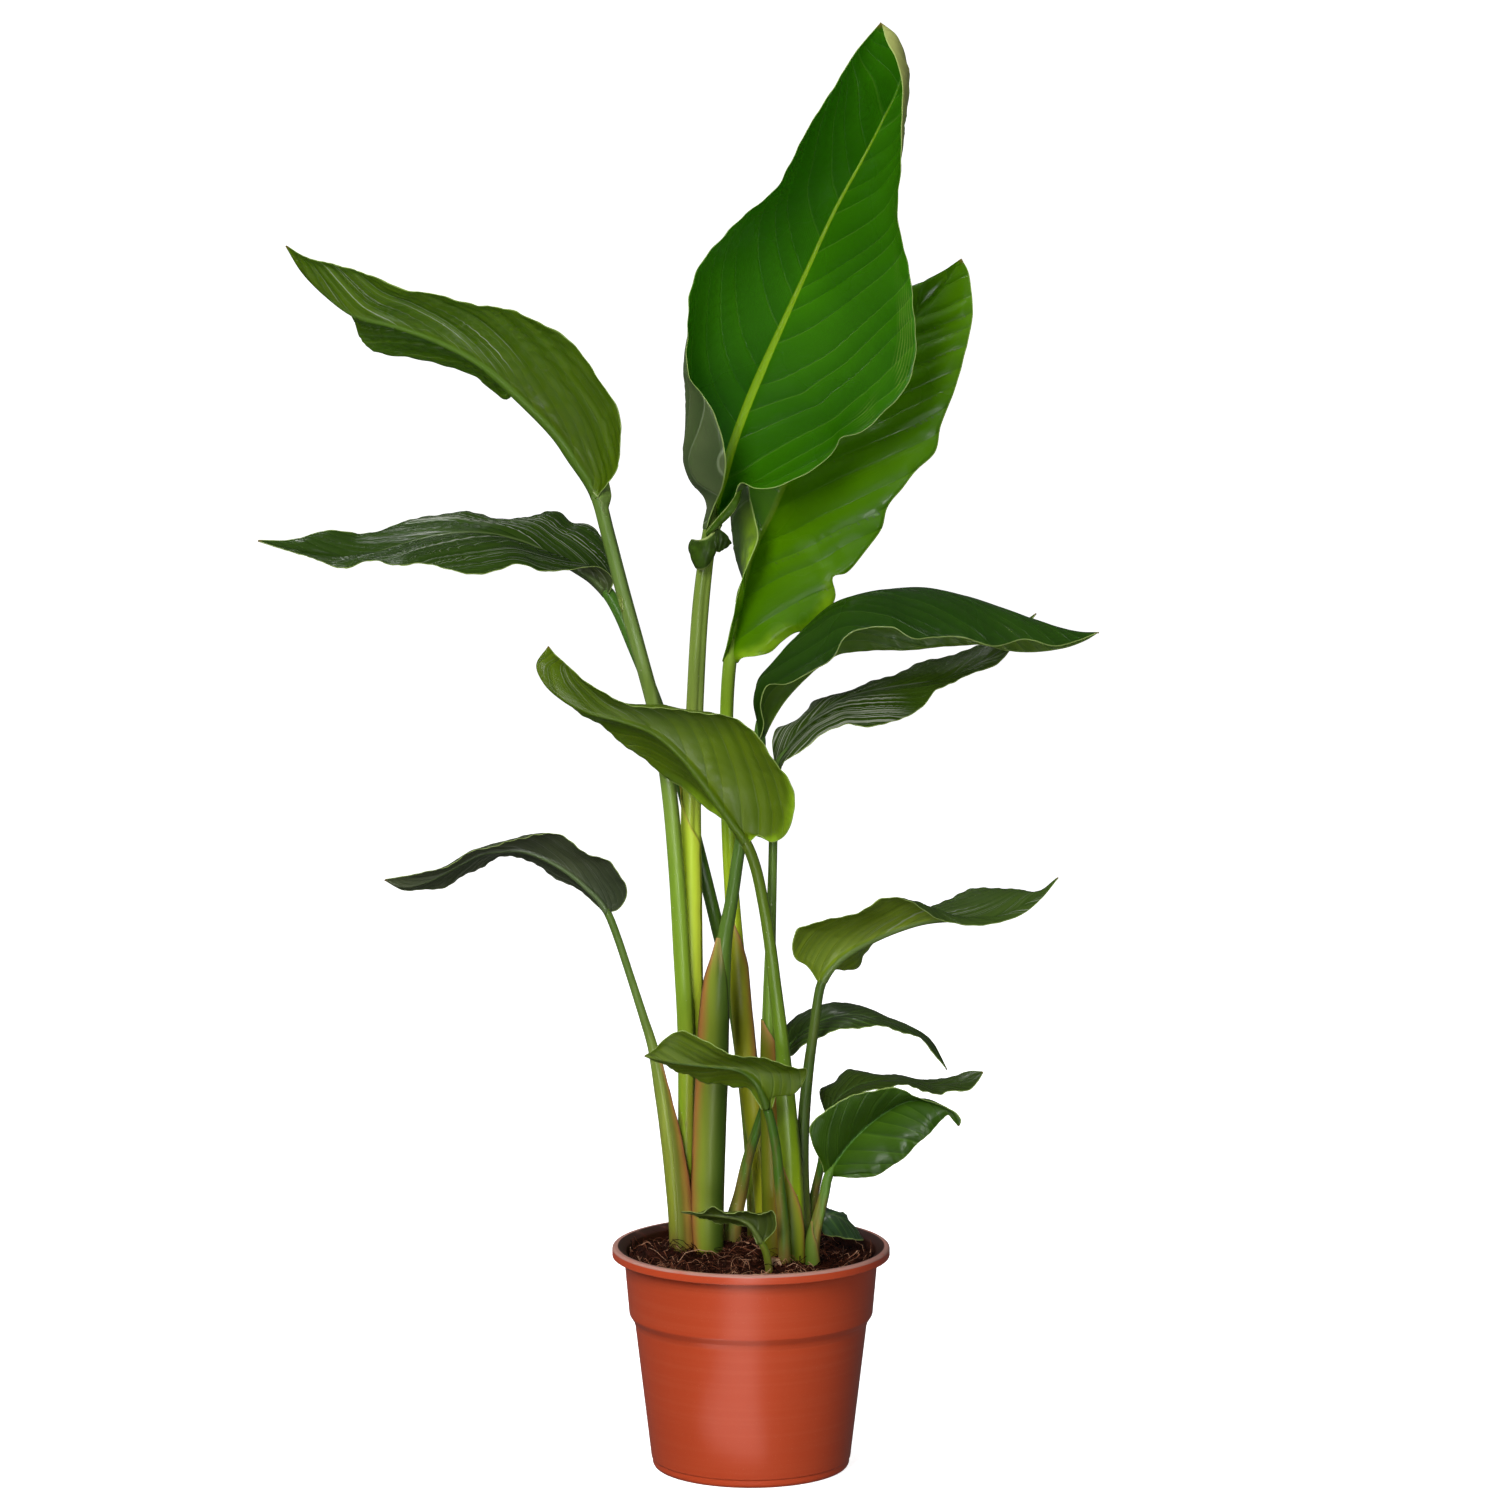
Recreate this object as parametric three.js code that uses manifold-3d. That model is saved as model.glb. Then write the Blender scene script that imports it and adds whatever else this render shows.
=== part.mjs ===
// A young bird of paradise plant in its terracotta coloured plastic pot.
// Millimetres, +Z up, +X to the right and +Y away from the viewer.
// The origin is the middle of the pot's underside, where it rests.
import * as THREE from "three";
import { mergeVertices } from "three/addons/utils/BufferGeometryUtils.js";
import Module from "manifold-3d";

// Pot, a 17 cm nursery pot
const RIM_RADIUS = 85;
const POT_HEIGHT = 137;
const LIP_DEPTH = 6;
const LIP_TOP_WIDTH = 4.6;
const COLLAR_TOP_RADIUS = 78;
const COLLAR_FOOT_RADIUS = 74.6;
const COLLAR_FOOT_HEIGHT = 95;
const BODY_TOP_RADIUS = 71;
const BODY_TOP_HEIGHT = 88;
const BASE_RADIUS = 60.5;
const BASE_STEP_HEIGHT = 5;
const BASE_STEP = 0.7;
const BASE_CHAMFER = 1.6;
const COLLAR_STEP_OUT = 1;
const COLLAR_STEP_UP = 3;
const LIP_FOOT_CHAMFER = 0.4;
const LIP_TOP_CHAMFER = 1;
const LIP_SLOPE = 3;
const WALL = 1.6;
const FLOOR_THICKNESS = 2.4;
const POT_SIDES = 36;
const DRAIN_HOLES = 8;
const DRAIN_RADIUS = 4.5;
const DRAIN_RING_RADIUS = 38;
const DRAIN_SIDES = 10;

// Soil, and how deep the stalks stand in it
const SOIL_HEIGHT = 126;
const SOIL_EDGE_DROP = 2;
const SOIL_SEED = 11;
const SOIL_LUMPS = 26;
const LUMP_REACH = 70;
const LUMP_HEIGHTS = 5;
const LUMP_WIDTH = 5;
const LUMP_WIDTHS = 6;
const SOIL_SIDES = 36;
const SOIL_TOP_RINGS = 7;
const FOOT_HEIGHT = 100;

// Clearances between neighbouring pieces
const GAP = 0.35;
const JOIN_GAP = 0.7;

// Leaves
const BLADE_THICKNESS = 0.9;
const BLADE_COLUMNS = [-1, -0.72, -0.4, -0.12, 0, 0.12, 0.4, 0.72, 1];
const EXTRA_ROWS = 7;
const KEEL_TAPER = 0.9;
const STALK_SIDES = 10;
const RINGS_PER_POINT = 2;
const RIPPLE_HEIGHT = 1.1;
const FEWEST_RIPPLES = 2;
const RIB_POINTS_PER_RIPPLE = 3;
const TIP_WIDTH = 1.2;
const CURVE_DIVISIONS = 400;

// A point of a leaf is given as it is seen on the upright plane through the pot's axis,
// by an eye in front of the plant, and then pushed back by a depth along that line of sight.
// Seen heights count from a little below the pot's underside.
const EYE_DISTANCE = 3200;
const EYE_HEIGHT = 846;
const SEEN_BASE = 1.5;

function seen([x, z, back]) {
  const scale = 1 + back / EYE_DISTANCE;
  return new THREE.Vector3(x * scale, back, EYE_HEIGHT + (z - SEEN_BASE - EYE_HEIGHT) * scale);
}

// The fifteen leaves, numbered from the tallest down.
// foot: where the stalk meets the soil, x and depth. stalk: x, z, depth and radius.
// rib, left, right: the midrib and the two margins, from the stalk to the tip, left and right
// as seen on the upper face. leftFold and rightFold: where half a blade folds or rolls.
const LEAVES = {
  leaf_01: {
    foot: [-33, 45],
    stalk: [
      [-34.5, 150, 44, 6], [-35.5, 210, 41, 6.4], [-36.2, 300, 36, 7.1], [-36.5, 355, 34, 6.9],
      [-36, 415, 32, 5.8], [-33.8, 474, 30, 5.3], [-30.3, 532, 28, 5.1], [-24.5, 577, 25, 4.6],
    ],
    rib: [
      [-18.6, 603, 28], [-10, 631, 33], [2.5, 664, 37], [18.5, 700, 39], [34, 734, 38], [49.7, 768, 33],
      [66.5, 799, 26], [79, 823, 18], [88, 842, 10], [90.5, 855, 4], [86, 869, -1], [77, 880, -6],
    ],
    left: [
      [-22.5, 591, 12], [-17, 604, 0], [-14.8, 620, -8], [-18.6, 637, -12], [-26, 654, -14],
      [-36, 669, -14], [-38.5, 690, -13], [-38, 714, -13], [-30, 736, -14], [-12, 760, -16],
      [14, 780, -18], [22, 796, -20], [28, 808, -20], [42, 830, -18], [60, 860, -14],
    ],
    leftFold: [
      [-28, 596, 20], [-37.5, 608, 15], [-41, 621, 13], [-39.5, 640, 12], [-36, 668, 12], [-24, 703, 16],
      [-6, 738, 14], [14, 768, 10], [34, 795, 6], [50, 820, 2], [67, 848, -3],
    ],
    right: [
      [-18.5, 585, 20], [-11.6, 594, 14], [-6.2, 606, 9], [1.4, 603, 7], [10, 602, 5], [21, 605, 4],
      [39, 615, 3], [50.5, 627, 2], [54, 633, 1], [67, 636, -2], [81, 649, -4], [91.6, 661.5, -6],
      [98.4, 680, -8], [99.5, 695, -8], [97, 715, -8], [91.2, 750, -14], [88.2, 770, -18],
      [88.6, 790, -22], [90, 816, -24], [90.3, 842, -22], [86, 859, -18], [80.8, 869, -14],
    ],
    rightFold: [
      [-9, 599, 20], [8, 615, 22], [25, 632, 22], [45, 655, 20], [60, 680, 18], [67, 705, 16],
      [71, 730, 12], [76, 758, 6], [82, 785, 0], [89, 812, -6], [94, 836, -7], [94.5, 851, -7],
      [91.5, 862, -7], [86, 873, -7],
    ],
  },
  leaf_02: {
    foot: [9, 48],
    stalk: [
      [9, 150, 48, 6.2], [7.5, 180, 48, 6.5], [4.5, 205, 47, 6.8], [0, 235, 46, 7],
      [-4.5, 272, 45, 6.4], [-8.5, 314, 45, 5.3], [-11.7, 358, 45, 4.5], [-13.8, 400, 45, 4.3],
      [-14.7, 465, 45, 4.1], [-12.8, 497, 44, 4.2],
    ],
    rib: [
      [-9.9, 515, 46], [-4.7, 542, 50], [2.9, 567, 54], [14, 589, 58], [24, 611, 61], [42, 640, 66],
      [66, 672, 68], [90, 699, 66], [110, 719, 61], [126, 740, 54],
    ],
    left: [
      [-15.5, 505, 37], [-12, 520, 30], [-7, 541, 24], [-3, 556, 22], [3.5, 573, 24], [1, 591, 30],
      [-1, 606, 40], [2, 630, 52], [6, 655, 62], [18, 680, 78], [38, 698, 88], [60, 710, 88],
      [80, 719, 82], [95, 724, 74], [107, 727.5, 66], [117, 732, 60],
    ],
    leftFold: [
      [-12, 520, 44], [-5.5, 542, 43], [-8.4, 556, 43], [-11.5, 570, 44], [-13, 584, 47], [-7, 606, 52],
      [8, 636, 60], [26, 663, 68], [52, 690, 74], [80, 709, 72], [106, 726, 64],
    ],
    right: [
      [-5, 500, 38], [3, 501, 36], [12, 503.5, 35], [19, 510, 34], [28, 515.6, 34], [41, 516, 33],
      [47, 528, 32], [51, 537, 31], [49.6, 549, 31], [57.6, 551.4, 31], [69.4, 565, 30], [79, 579, 30],
      [82, 591, 30], [91, 602, 30], [100, 613.6, 30], [110.5, 624, 31], [114, 640, 32], [122, 660, 34],
      [128, 682, 37], [133, 707, 42], [132, 722, 47], [130, 733, 51],
    ],
    arch: 0.08,
  },
  leaf_03: {
    foot: [-40, 33],
    stalk: [
      [-40.5, 150, 32, 4.9], [-39.5, 210, 29, 5.2], [-39.5, 270, 26, 5.5], [-42, 320, 23, 5.5],
      [-45, 370, 20, 5.2], [-49.5, 420, 17, 5], [-56, 460, 15, 4.8], [-67, 503, 12, 4.6],
      [-77, 540, 10, 4.5], [-86, 575, 8, 4.4], [-92, 597, 7, 4.4],
    ],
    rib: [
      [-97, 607, 6], [-107, 621, 4], [-117, 635, 2], [-139, 657, -1], [-162, 677, -3],
      [-188, 691, -5], [-214, 700, -7], [-237, 706, -8], [-254, 718, -8], [-268, 732, -8],
      [-278, 748, -8],
    ],
    left: [
      [-90, 601, -1], [-81, 613, -8], [-78.5, 628, -14], [-80, 648, -19], [-90, 667, -24],
      [-102, 683, -28], [-120, 699, -30], [-142, 708.5, -28], [-162, 711.5, -26], [-187, 719, -30],
      [-206, 720, -29], [-226, 730, -27], [-246, 735.5, -22], [-266, 741, -15],
    ],
    right: [
      [-87, 606, 16], [-84, 624, 32], [-93, 646, 42], [-112, 671, 45], [-133, 676, 44],
      [-147, 656, 40], [-160, 664, 38], [-171, 672, 36], [-185, 677, 35], [-202, 680, 33],
      [-222, 683, 28], [-232, 690, 21], [-240, 706, 10], [-256, 724, 4], [-269, 738, -2],
    ],
    arch: 0.06,
  },
  leaf_04: {
    foot: [2, 61],
    stalk: [
      [2, 150, 61, 4.4], [0, 200, 60, 4.5], [-6, 260, 58, 4.5], [-13, 305, 56, 4.4],
      [-20, 335, 53, 4.4], [-25.5, 358, 50, 4.3], [-34, 392, 46, 4.3], [-43.5, 430, 41, 4.2],
      [-56, 470, 35, 4.1], [-71, 508, 29, 4.1], [-79.5, 528, 27, 4.1], [-86, 539, 26, 4],
    ],
    rib: [
      [-95, 548, 24], [-105, 554.5, 21], [-120, 562, 18], [-140, 571, 14], [-165, 576, 10],
      [-190, 574, 8], [-212, 568, 6], [-235, 561.5, 5], [-256, 561, 4], [-276, 565, 3],
      [-297, 571, 2],
    ],
    left: [
      [-83, 547, 19], [-90, 554.5, 15], [-99, 554.5, 8], [-108, 553, 0], [-127, 553, -14],
      [-140, 556, -20], [-152, 553, -25], [-166, 551, -28], [-182, 552.5, -28], [-200, 557.5, -24],
      [-215, 556, -21], [-229, 558, -17], [-246, 554.5, -13], [-262, 559, -7], [-280, 565, -1],
    ],
    right: [
      [-84, 552, 34], [-89, 570, 42], [-97, 581, 47], [-107, 582, 48], [-117, 588, 46],
      [-132, 585, 44], [-155, 584, 42], [-172, 588, 38], [-192, 586.5, 34], [-210, 581, 27],
      [-235, 575.5, 19], [-255, 577, 12], [-278, 571.5, 6],
    ],
    arch: 0.06,
  },
  leaf_05: {
    foot: [26, -8],
    stalk: [
      [25.5, 150, -9, 7.5], [23.5, 195, -12, 7], [21, 232, -13, 5.8], [19, 262, -14, 4.3],
      [14.5, 300, -16, 3.9], [11.5, 325, -18, 3.6], [7.5, 350, -20, 3.4], [2.5, 373, -23, 3.4],
      [-3, 387, -25, 3.4],
    ],
    rib: [
      [-12, 400, -27], [-22, 414, -29], [-33, 429, -30], [-45, 443, -31], [-60, 455, -32],
      [-79, 462, -33], [-99, 467, -34], [-114, 475, -35], [-125, 485, -36], [-129.5, 496, -36],
      [-122, 507, -36],
    ],
    left: [
      [4.5, 392, -27], [12, 387.5, -28], [20, 391, -32], [25, 402, -38], [27, 415, -43],
      [24, 424, -47], [14, 436, -51], [5, 452.5, -54], [-10, 462, -55], [-36, 468, -54],
      [-56, 468.5, -53], [-72, 471.5, -51], [-97, 483, -48], [-111, 496, -44], [-118, 502, -41],
    ],
    right: [
      [-9, 394, -20], [-18, 402, -14], [-30, 411, -9], [-45, 423, -6], [-55, 430, -5],
      [-68, 440, -5], [-80, 450, -7], [-95, 461, -12], [-109, 471, -20], [-121, 483, -28],
      [-127, 495, -32],
    ],
    arch: 0.1,
  },
  leaf_06: {
    foot: [-26, 20],
    stalk: [
      [-26, 150, 20, 9.3], [-24.5, 200, 20, 9], [-22, 250, 18, 8.4], [-19.5, 295, 15, 7],
      [-16, 330, 12, 4.9], [-12, 352, 9, 4.2], [-7, 385, 4, 3.9], [-1, 415, 0, 3.9],
      [5, 446, -2, 3.9],
    ],
    rib: [
      [3.5, 460, -2], [2, 474, -2], [5, 487, -1], [13, 498, 0], [27, 513, 0], [48, 532, 0],
      [72, 540, 0], [102, 543, 0], [128, 538, 0], [150, 531, 0], [175, 522, 0], [197, 516, 0],
      [210, 515.5, 0],
    ],
    left: [
      [12, 459, 5], [19, 471, 12], [28, 482, 19], [40, 493, 26], [53, 502, 31], [72, 504, 34],
      [100, 505, 34], [122, 507, 32], [139, 508, 28], [152, 504.5, 24], [172, 503.5, 16],
      [190, 506, 9], [203, 511, 3],
    ],
    right: [
      [8, 459, -7], [6, 472, -11], [10, 483, -14], [22, 484, -19], [37, 492, -26], [50, 500, -31],
      [58, 513, -34], [68, 518, -35], [85, 518, -35], [97, 511.5, -34], [111, 512.5, -32],
      [125, 512.5, -30], [147, 507, -26], [165, 511, -19], [183, 507, -13], [198, 510.5, -6],
    ],
    arch: 0.16,
  },
  leaf_07: {
    foot: [14, 8],
    stalk: [
      [13, 150, 9, 5.8], [12, 200, 10, 5.8], [11, 250, 9, 5.3], [11, 290, 7, 4],
      [12, 330, 4, 3.2], [13, 370, 0, 2.8], [14, 410, -4, 2.7], [16, 434, -7, 2.7],
    ],
    rib: [
      [21, 443, -6], [30, 455, -3], [43, 467, 2], [58, 476, 8], [78, 481, 15], [98, 484, 21],
      [118, 487, 27], [135, 495, 32], [150, 504, 34], [163, 516, 33], [172, 527, 31],
    ],
    left: [
      [13, 449, 2], [16, 457, 8], [26, 461.5, 13], [34, 468, 18], [39, 473.5, 22], [53, 476.5, 27],
      [62, 480, 30], [78, 487, 36], [100, 495.5, 43], [120, 502, 47], [138, 507, 49],
      [152, 513, 46], [165, 522, 38],
    ],
    right: [
      [20, 436.5, -14], [27, 441, -19], [34, 446, -21], [42, 452.5, -22], [52, 457, -21],
      [60, 460, -20], [70, 458, -18], [82, 459.5, -14], [97, 466, -6], [106, 472, 1],
      [112, 480, 8], [122, 485.5, 15], [137, 491, 23], [149, 496.5, 28], [156, 504, 30],
      [165, 517, 30],
    ],
    arch: 0.08,
  },
  leaf_08: {
    foot: [-45, 21],
    stalk: [
      [-45.5, 150, 21, 4.8], [-47.5, 180, 21, 5.2], [-50, 205, 20, 5.3], [-54.5, 235, 19, 4.7],
      [-60, 262, 17, 3.2], [-65.5, 280, 15, 2.7], [-74, 307, 12, 2.4], [-81.5, 330, 9, 2.4],
      [-87, 344, 7, 2.4],
    ],
    rib: [
      [-92, 352, 6], [-99, 359, 5], [-110, 368.5, 4], [-125, 377.5, 3], [-140, 382.5, 2],
      [-155, 382, 1], [-164, 380.5, 0], [-173, 376, 0], [-186, 368.5, -1], [-200, 362, -1],
      [-212, 360, -2], [-222.5, 364.5, -2],
    ],
    left: [
      [-81, 346, 4], [-76, 353, 0], [-75.5, 361, -4], [-81, 369, -9], [-87, 376, -13],
      [-100, 381.5, -17], [-108, 386, -19], [-114, 390.5, -19], [-121, 393.5, -19],
      [-130, 393, -19], [-138, 389, -19], [-150, 387, -18], [-167, 382.5, -16], [-180, 375, -14],
      [-200, 368.5, -9], [-213, 366.5, -5],
    ],
    right: [
      [-93, 348, 14], [-101, 355.5, 19], [-111, 361.5, 23], [-121, 367, 25], [-131, 373.5, 26],
      [-141, 379, 26], [-152, 377.5, 24], [-162, 373.5, 22], [-170, 369, 20], [-179, 363.5, 16],
      [-188, 359.5, 13], [-200, 358, 8], [-212, 358.5, 3],
    ],
    arch: 0.08,
  },
  leaf_09: {
    foot: [21, -24],
    stalk: [
      [20, 145, -25, 3.8], [17.5, 175, -29, 3.3], [15.5, 198, -34, 3], [12.5, 214, -38, 2.9],
      [10, 223, -40, 2.7],
    ],
    rib: [
      [7, 231.5, -42], [2.5, 240, -43], [-5, 246.5, -42], [-15, 249, -41], [-30, 250, -40],
      [-45, 251.5, -41], [-57, 254, -42], [-65, 256, -43],
    ],
    left: [
      [16, 231.5, -38], [24, 231.5, -38], [30.5, 237, -42], [34, 247, -50], [28, 248.5, -54],
      [22, 251, -56], [0, 255, -58], [-19, 260, -58], [-30, 266, -56], [-41, 272, -54],
      [-51, 267.5, -50], [-59, 260, -46],
    ],
    right: [
      [1, 232, -37], [-3, 236, -31], [-12, 237, -26], [-25, 239, -24], [-36, 242.5, -24],
      [-46, 247, -28], [-56, 251.5, -35],
    ],
    arch: 0.03,
  },
  leaf_10: {
    foot: [-12, 36],
    stalk: [
      [-11, 150, 35, 5.3], [-6.5, 170, 33, 4.2], [-2.5, 190, 30, 3.5], [3.5, 210, 26, 3.1],
      [9.5, 228, 23, 2.8], [15.5, 245, 20, 2.7], [21, 258, 18, 2.6],
    ],
    rib: [
      [29, 268, 16], [40, 276, 14], [53, 280.5, 12], [68, 280.5, 10], [85, 276, 9],
      [100, 270.5, 9], [110, 263, 9], [119.5, 247.5, 9],
    ],
    left: [
      [18, 266, 26], [22, 275.5, 31], [34, 283.5, 34], [46, 289, 35], [58, 287.5, 34],
      [69, 286, 32], [80, 279.5, 28], [100, 272.5, 19], [111, 263.5, 14],
    ],
    right: [
      [25, 256, 8], [33, 263, 1], [44, 268.5, -5], [58, 272.5, -8], [74, 274, -8],
      [92, 271, -4], [104, 265.5, 1], [113, 255, 6],
    ],
    arch: 0.1,
  },
  leaf_11: {
    foot: [36, 4],
    stalk: [
      [33, 150, 3, 4.1], [31.5, 190, 1, 3.9], [32.5, 220, -4, 3.7], [35.3, 250, -11, 3.3],
      [38.3, 272, -15, 3], [40.3, 288, -17, 2.9], [43, 301, -19, 2.9],
    ],
    rib: [
      [49, 310, -20], [58, 318.5, -20], [72, 326.5, -20], [88, 333.5, -19], [105, 338.5, -18],
      [121, 340, -16], [140, 340, -14], [155, 343, -12], [168, 350, -10], [180, 359, -8],
      [186.5, 366, -7],
    ],
    left: [
      [50, 309, -8], [58, 308.5, 2], [65.5, 310.5, 9], [68, 318, 13], [80, 329, 17],
      [94, 339, 20], [107, 345.5, 21], [116, 351.5, 20], [130, 357, 17], [146, 360, 12],
      [160, 358.5, 6], [174, 357.5, -1],
    ],
    right: [
      [34, 311.5, -24], [27.5, 315.5, -28], [25, 323, -32], [28, 334.5, -37], [38, 337, -41],
      [58, 343, -45], [70, 347, -46], [80, 352, -45], [93, 353, -42], [100, 350.5, -39],
      [107, 344, -35], [114, 339.5, -31], [126, 337.5, -28], [140, 336.5, -26], [152, 338, -23],
      [166, 344, -17], [178, 354.5, -11],
    ],
    arch: 0.08,
  },
  leaf_12: {
    foot: [39, -13],
    stalk: [
      [38, 142, -15, 4.3], [41, 155, -17, 3.7], [44.5, 169, -19, 3.2], [47.5, 182, -21, 2.9],
    ],
    rib: [
      [55, 195, -22], [65, 207, -23], [79, 219, -25], [93, 227, -28], [106, 229, -31],
      [116, 225.5, -33], [122.5, 220.5, -34], [127, 212.5, -35],
    ],
    left: [
      [43.5, 188, -24], [37, 203, -33], [36, 212, -37], [46, 223, -41], [57, 229, -43],
      [72, 234.5, -44], [87, 236, -43], [100, 231.5, -40], [110, 228, -39], [119, 224, -38],
      [125, 221, -37], [128.5, 216, -36],
    ],
    right: [
      [54, 181, -24], [66, 180, -27], [77, 182, -29], [87, 188, -31], [95, 194, -33],
      [102, 201.5, -34], [110, 209, -34], [116.5, 216, -34], [120.5, 219.5, -33], [124, 215.5, -33],
    ],
    arch: 0.08,
  },
  leaf_13: {
    foot: [33, 15],
    stalk: [
      [34, 145, 14, 3.3], [37, 162, 11, 2.9], [40, 176, 8, 2.6], [43, 190, 4, 2.4],
      [45, 206, 0, 2.3], [47, 219, -2, 2.3],
    ],
    rib: [
      [52, 228, -2], [62, 236, -1], [75, 240, 0], [92, 240.5, 2], [108, 238, 4], [122, 239, 6],
      [134, 242, 8], [141.5, 246, 9],
    ],
    left: [
      [43.5, 226, 6], [42.5, 235, 12], [50, 240, 15], [57, 246, 16], [65, 246.5, 17],
      [76, 244, 18], [92, 243, 19], [104, 241, 19], [114, 241, 18], [124, 244, 16],
      [133, 246.5, 13],
    ],
    right: [
      [54, 224, -8], [61, 228.5, -13], [72, 234, -16], [86, 237, -16], [99, 236.5, -14],
      [108, 234, -12], [115, 231, -10], [122, 234.5, -6], [133, 234.5, -2], [138.5, 240, 4],
    ],
    arch: 0.08,
  },
  leaf_14: {
    foot: [37, 27],
    stalk: [
      [37, 140, 27, 2.6], [37.5, 150, 26, 2.4],
    ],
    rib: [
      [41, 155.5, 25], [46, 157.5, 24], [52, 156.5, 23], [58, 152.5, 22], [64, 146.5, 21],
      [69, 141.5, 20],
    ],
    left: [
      [37, 159, 31], [44, 160.5, 33], [50, 160.5, 33], [56, 158, 31], [61, 153, 28],
      [66, 146, 24],
    ],
    right: [
      [43, 148, 19], [46, 144.5, 15], [52, 143.5, 12], [58, 142.5, 12], [64, 141.5, 15],
    ],
    arch: 0.1,
  },
  leaf_15: {
    foot: [13, -34],
    stalk: [
      [9.5, 133, -37, 2.3], [6.3, 139.5, -38.5, 2],
    ],
    rib: [
      [3, 145.5, -39.5], [-1, 151, -40], [-7, 154.5, -40], [-14, 156, -39], [-24, 157, -38],
      [-34, 157.5, -38], [-43, 159, -38],
    ],
    left: [
      [10.5, 143, -37], [15, 148, -38], [15.5, 154, -41], [13, 159, -44], [6, 158.5, -47],
      [-8, 158.5, -48], [-18, 159.5, -46], [-24, 161.5, -45], [-30, 158.5, -42], [-37, 159, -40],
    ],
    right: [
      [0, 147, -37], [-5, 150.5, -33], [-15, 151.5, -29], [-26, 153.5, -29], [-35, 157, -34],
    ],
    arch: 0.1,
  },
};

// Closed solids from rings of points

// Skins a row of rings that have the same number of points and closes both ends.
// The two faces of a thin ring are split along the same diagonals.
function skin(rings) {
  const around = rings[0].length;
  const half = around / 2;
  const last = (rings.length - 1) * around;
  const faces = [];
  for (let row = 0; row + 1 < rings.length; row++) {
    for (let j = 0; j < around; j++) {
      const a = row * around + j;
      const b = row * around + ((j + 1) % around);
      const c = a + around;
      const d = b + around;
      if (j < half) faces.push(a, b, d, a, d, c);
      else faces.push(a, b, c, b, d, c);
    }
  }
  for (let j = 0; j + 1 < half; j++) {
    const a = j;
    const b = j + 1;
    const c = around - 2 - j;
    const d = around - 1 - j;
    faces.push(a, d, c, a, c, b);
    faces.push(last + a, last + c, last + d, last + a, last + b, last + c);
  }
  return facingOut(rings.flat(), faces);
}

function facingOut(points, faces) {
  let volume = 0;
  for (let i = 0; i < faces.length; i += 3) {
    const [a, b, c] = [points[faces[i]], points[faces[i + 1]], points[faces[i + 2]]];
    volume += a.dot(new THREE.Vector3().crossVectors(b, c));
  }
  if (volume < 0) faces.reverse();
  const coordinates = points.flatMap((point) => point.toArray());
  const geometry = new THREE.BufferGeometry();
  geometry.setAttribute("position", new THREE.Float32BufferAttribute(coordinates, 3));
  geometry.setIndex(faces);
  return geometry;
}

// Stalks

// The whole line of a leaf, up its stalk and on along its midrib, is one smooth curve.
// Its first stretch stands upright in the soil.
function spine(leaf) {
  const [x, y] = leaf.foot;
  const foot = new THREE.Vector3(x, y, FOOT_HEIGHT);
  const points = [foot, ...leaf.stalk.map(seen), ...leaf.rib.map(seen)];
  return smoothCurve(points);
}

function smoothCurve(points) {
  const curve = new THREE.CatmullRomCurve3(points, false, "centripetal");
  curve.arcLengthDivisions = CURVE_DIVISIONS;
  return curve;
}

// The share of the spine's length at one of its own points
function shareAt(curve, index) {
  const lengths = curve.getLengths(CURVE_DIVISIONS);
  const step = (index / (curve.points.length - 1)) * CURVE_DIVISIONS;
  const low = Math.floor(step);
  const high = Math.min(low + 1, CURVE_DIVISIONS);
  return THREE.MathUtils.lerp(lengths[low], lengths[high], step - low) / lengths[CURVE_DIVISIONS];
}

function ringAround(centre, along, radius) {
  const side = new THREE.Vector3().crossVectors(along, new THREE.Vector3(0, 1, 0)).normalize();
  const front = new THREE.Vector3().crossVectors(side, along).normalize();
  const ring = [];
  for (let i = 0; i < STALK_SIDES; i++) {
    const angle = ((i + 0.5) / STALK_SIDES) * 2 * Math.PI;
    const point = centre.clone().addScaledVector(side, radius * Math.cos(angle));
    ring.push(point.addScaledVector(front, radius * Math.sin(angle)));
  }
  return ring;
}

// extra widens the stalk and lengthens its foot, for the hole that it stands in.
function stalkGeometry(leaf, extra) {
  const curve = spine(leaf);
  const length = curve.getLength();
  const radii = [leaf.stalk[0][3], ...leaf.stalk.map((point) => point[3])];
  const rings = [];
  const steps = (radii.length - 1) * RINGS_PER_POINT;
  for (let i = 0; i <= steps; i++) {
    const index = i / RINGS_PER_POINT;
    const low = Math.min(Math.floor(index), radii.length - 2);
    const radius = THREE.MathUtils.lerp(radii[low], radii[low + 1], index - low);
    const end = i === steps ? JOIN_GAP / 2 / length : 0;
    const share = shareAt(curve, index) - end;
    const centre = curve.getPointAt(share);
    rings.push(ringAround(centre, curve.getTangentAt(share), radius + extra));
  }
  for (const point of rings[0]) point.z = FOOT_HEIGHT - extra;
  return skin(rings);
}

// Blades

// A margin or fold, from the end of the stalk to the tip
function guide(start, points, end) {
  return smoothCurve([start, ...points.map(seen), end]);
}

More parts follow.
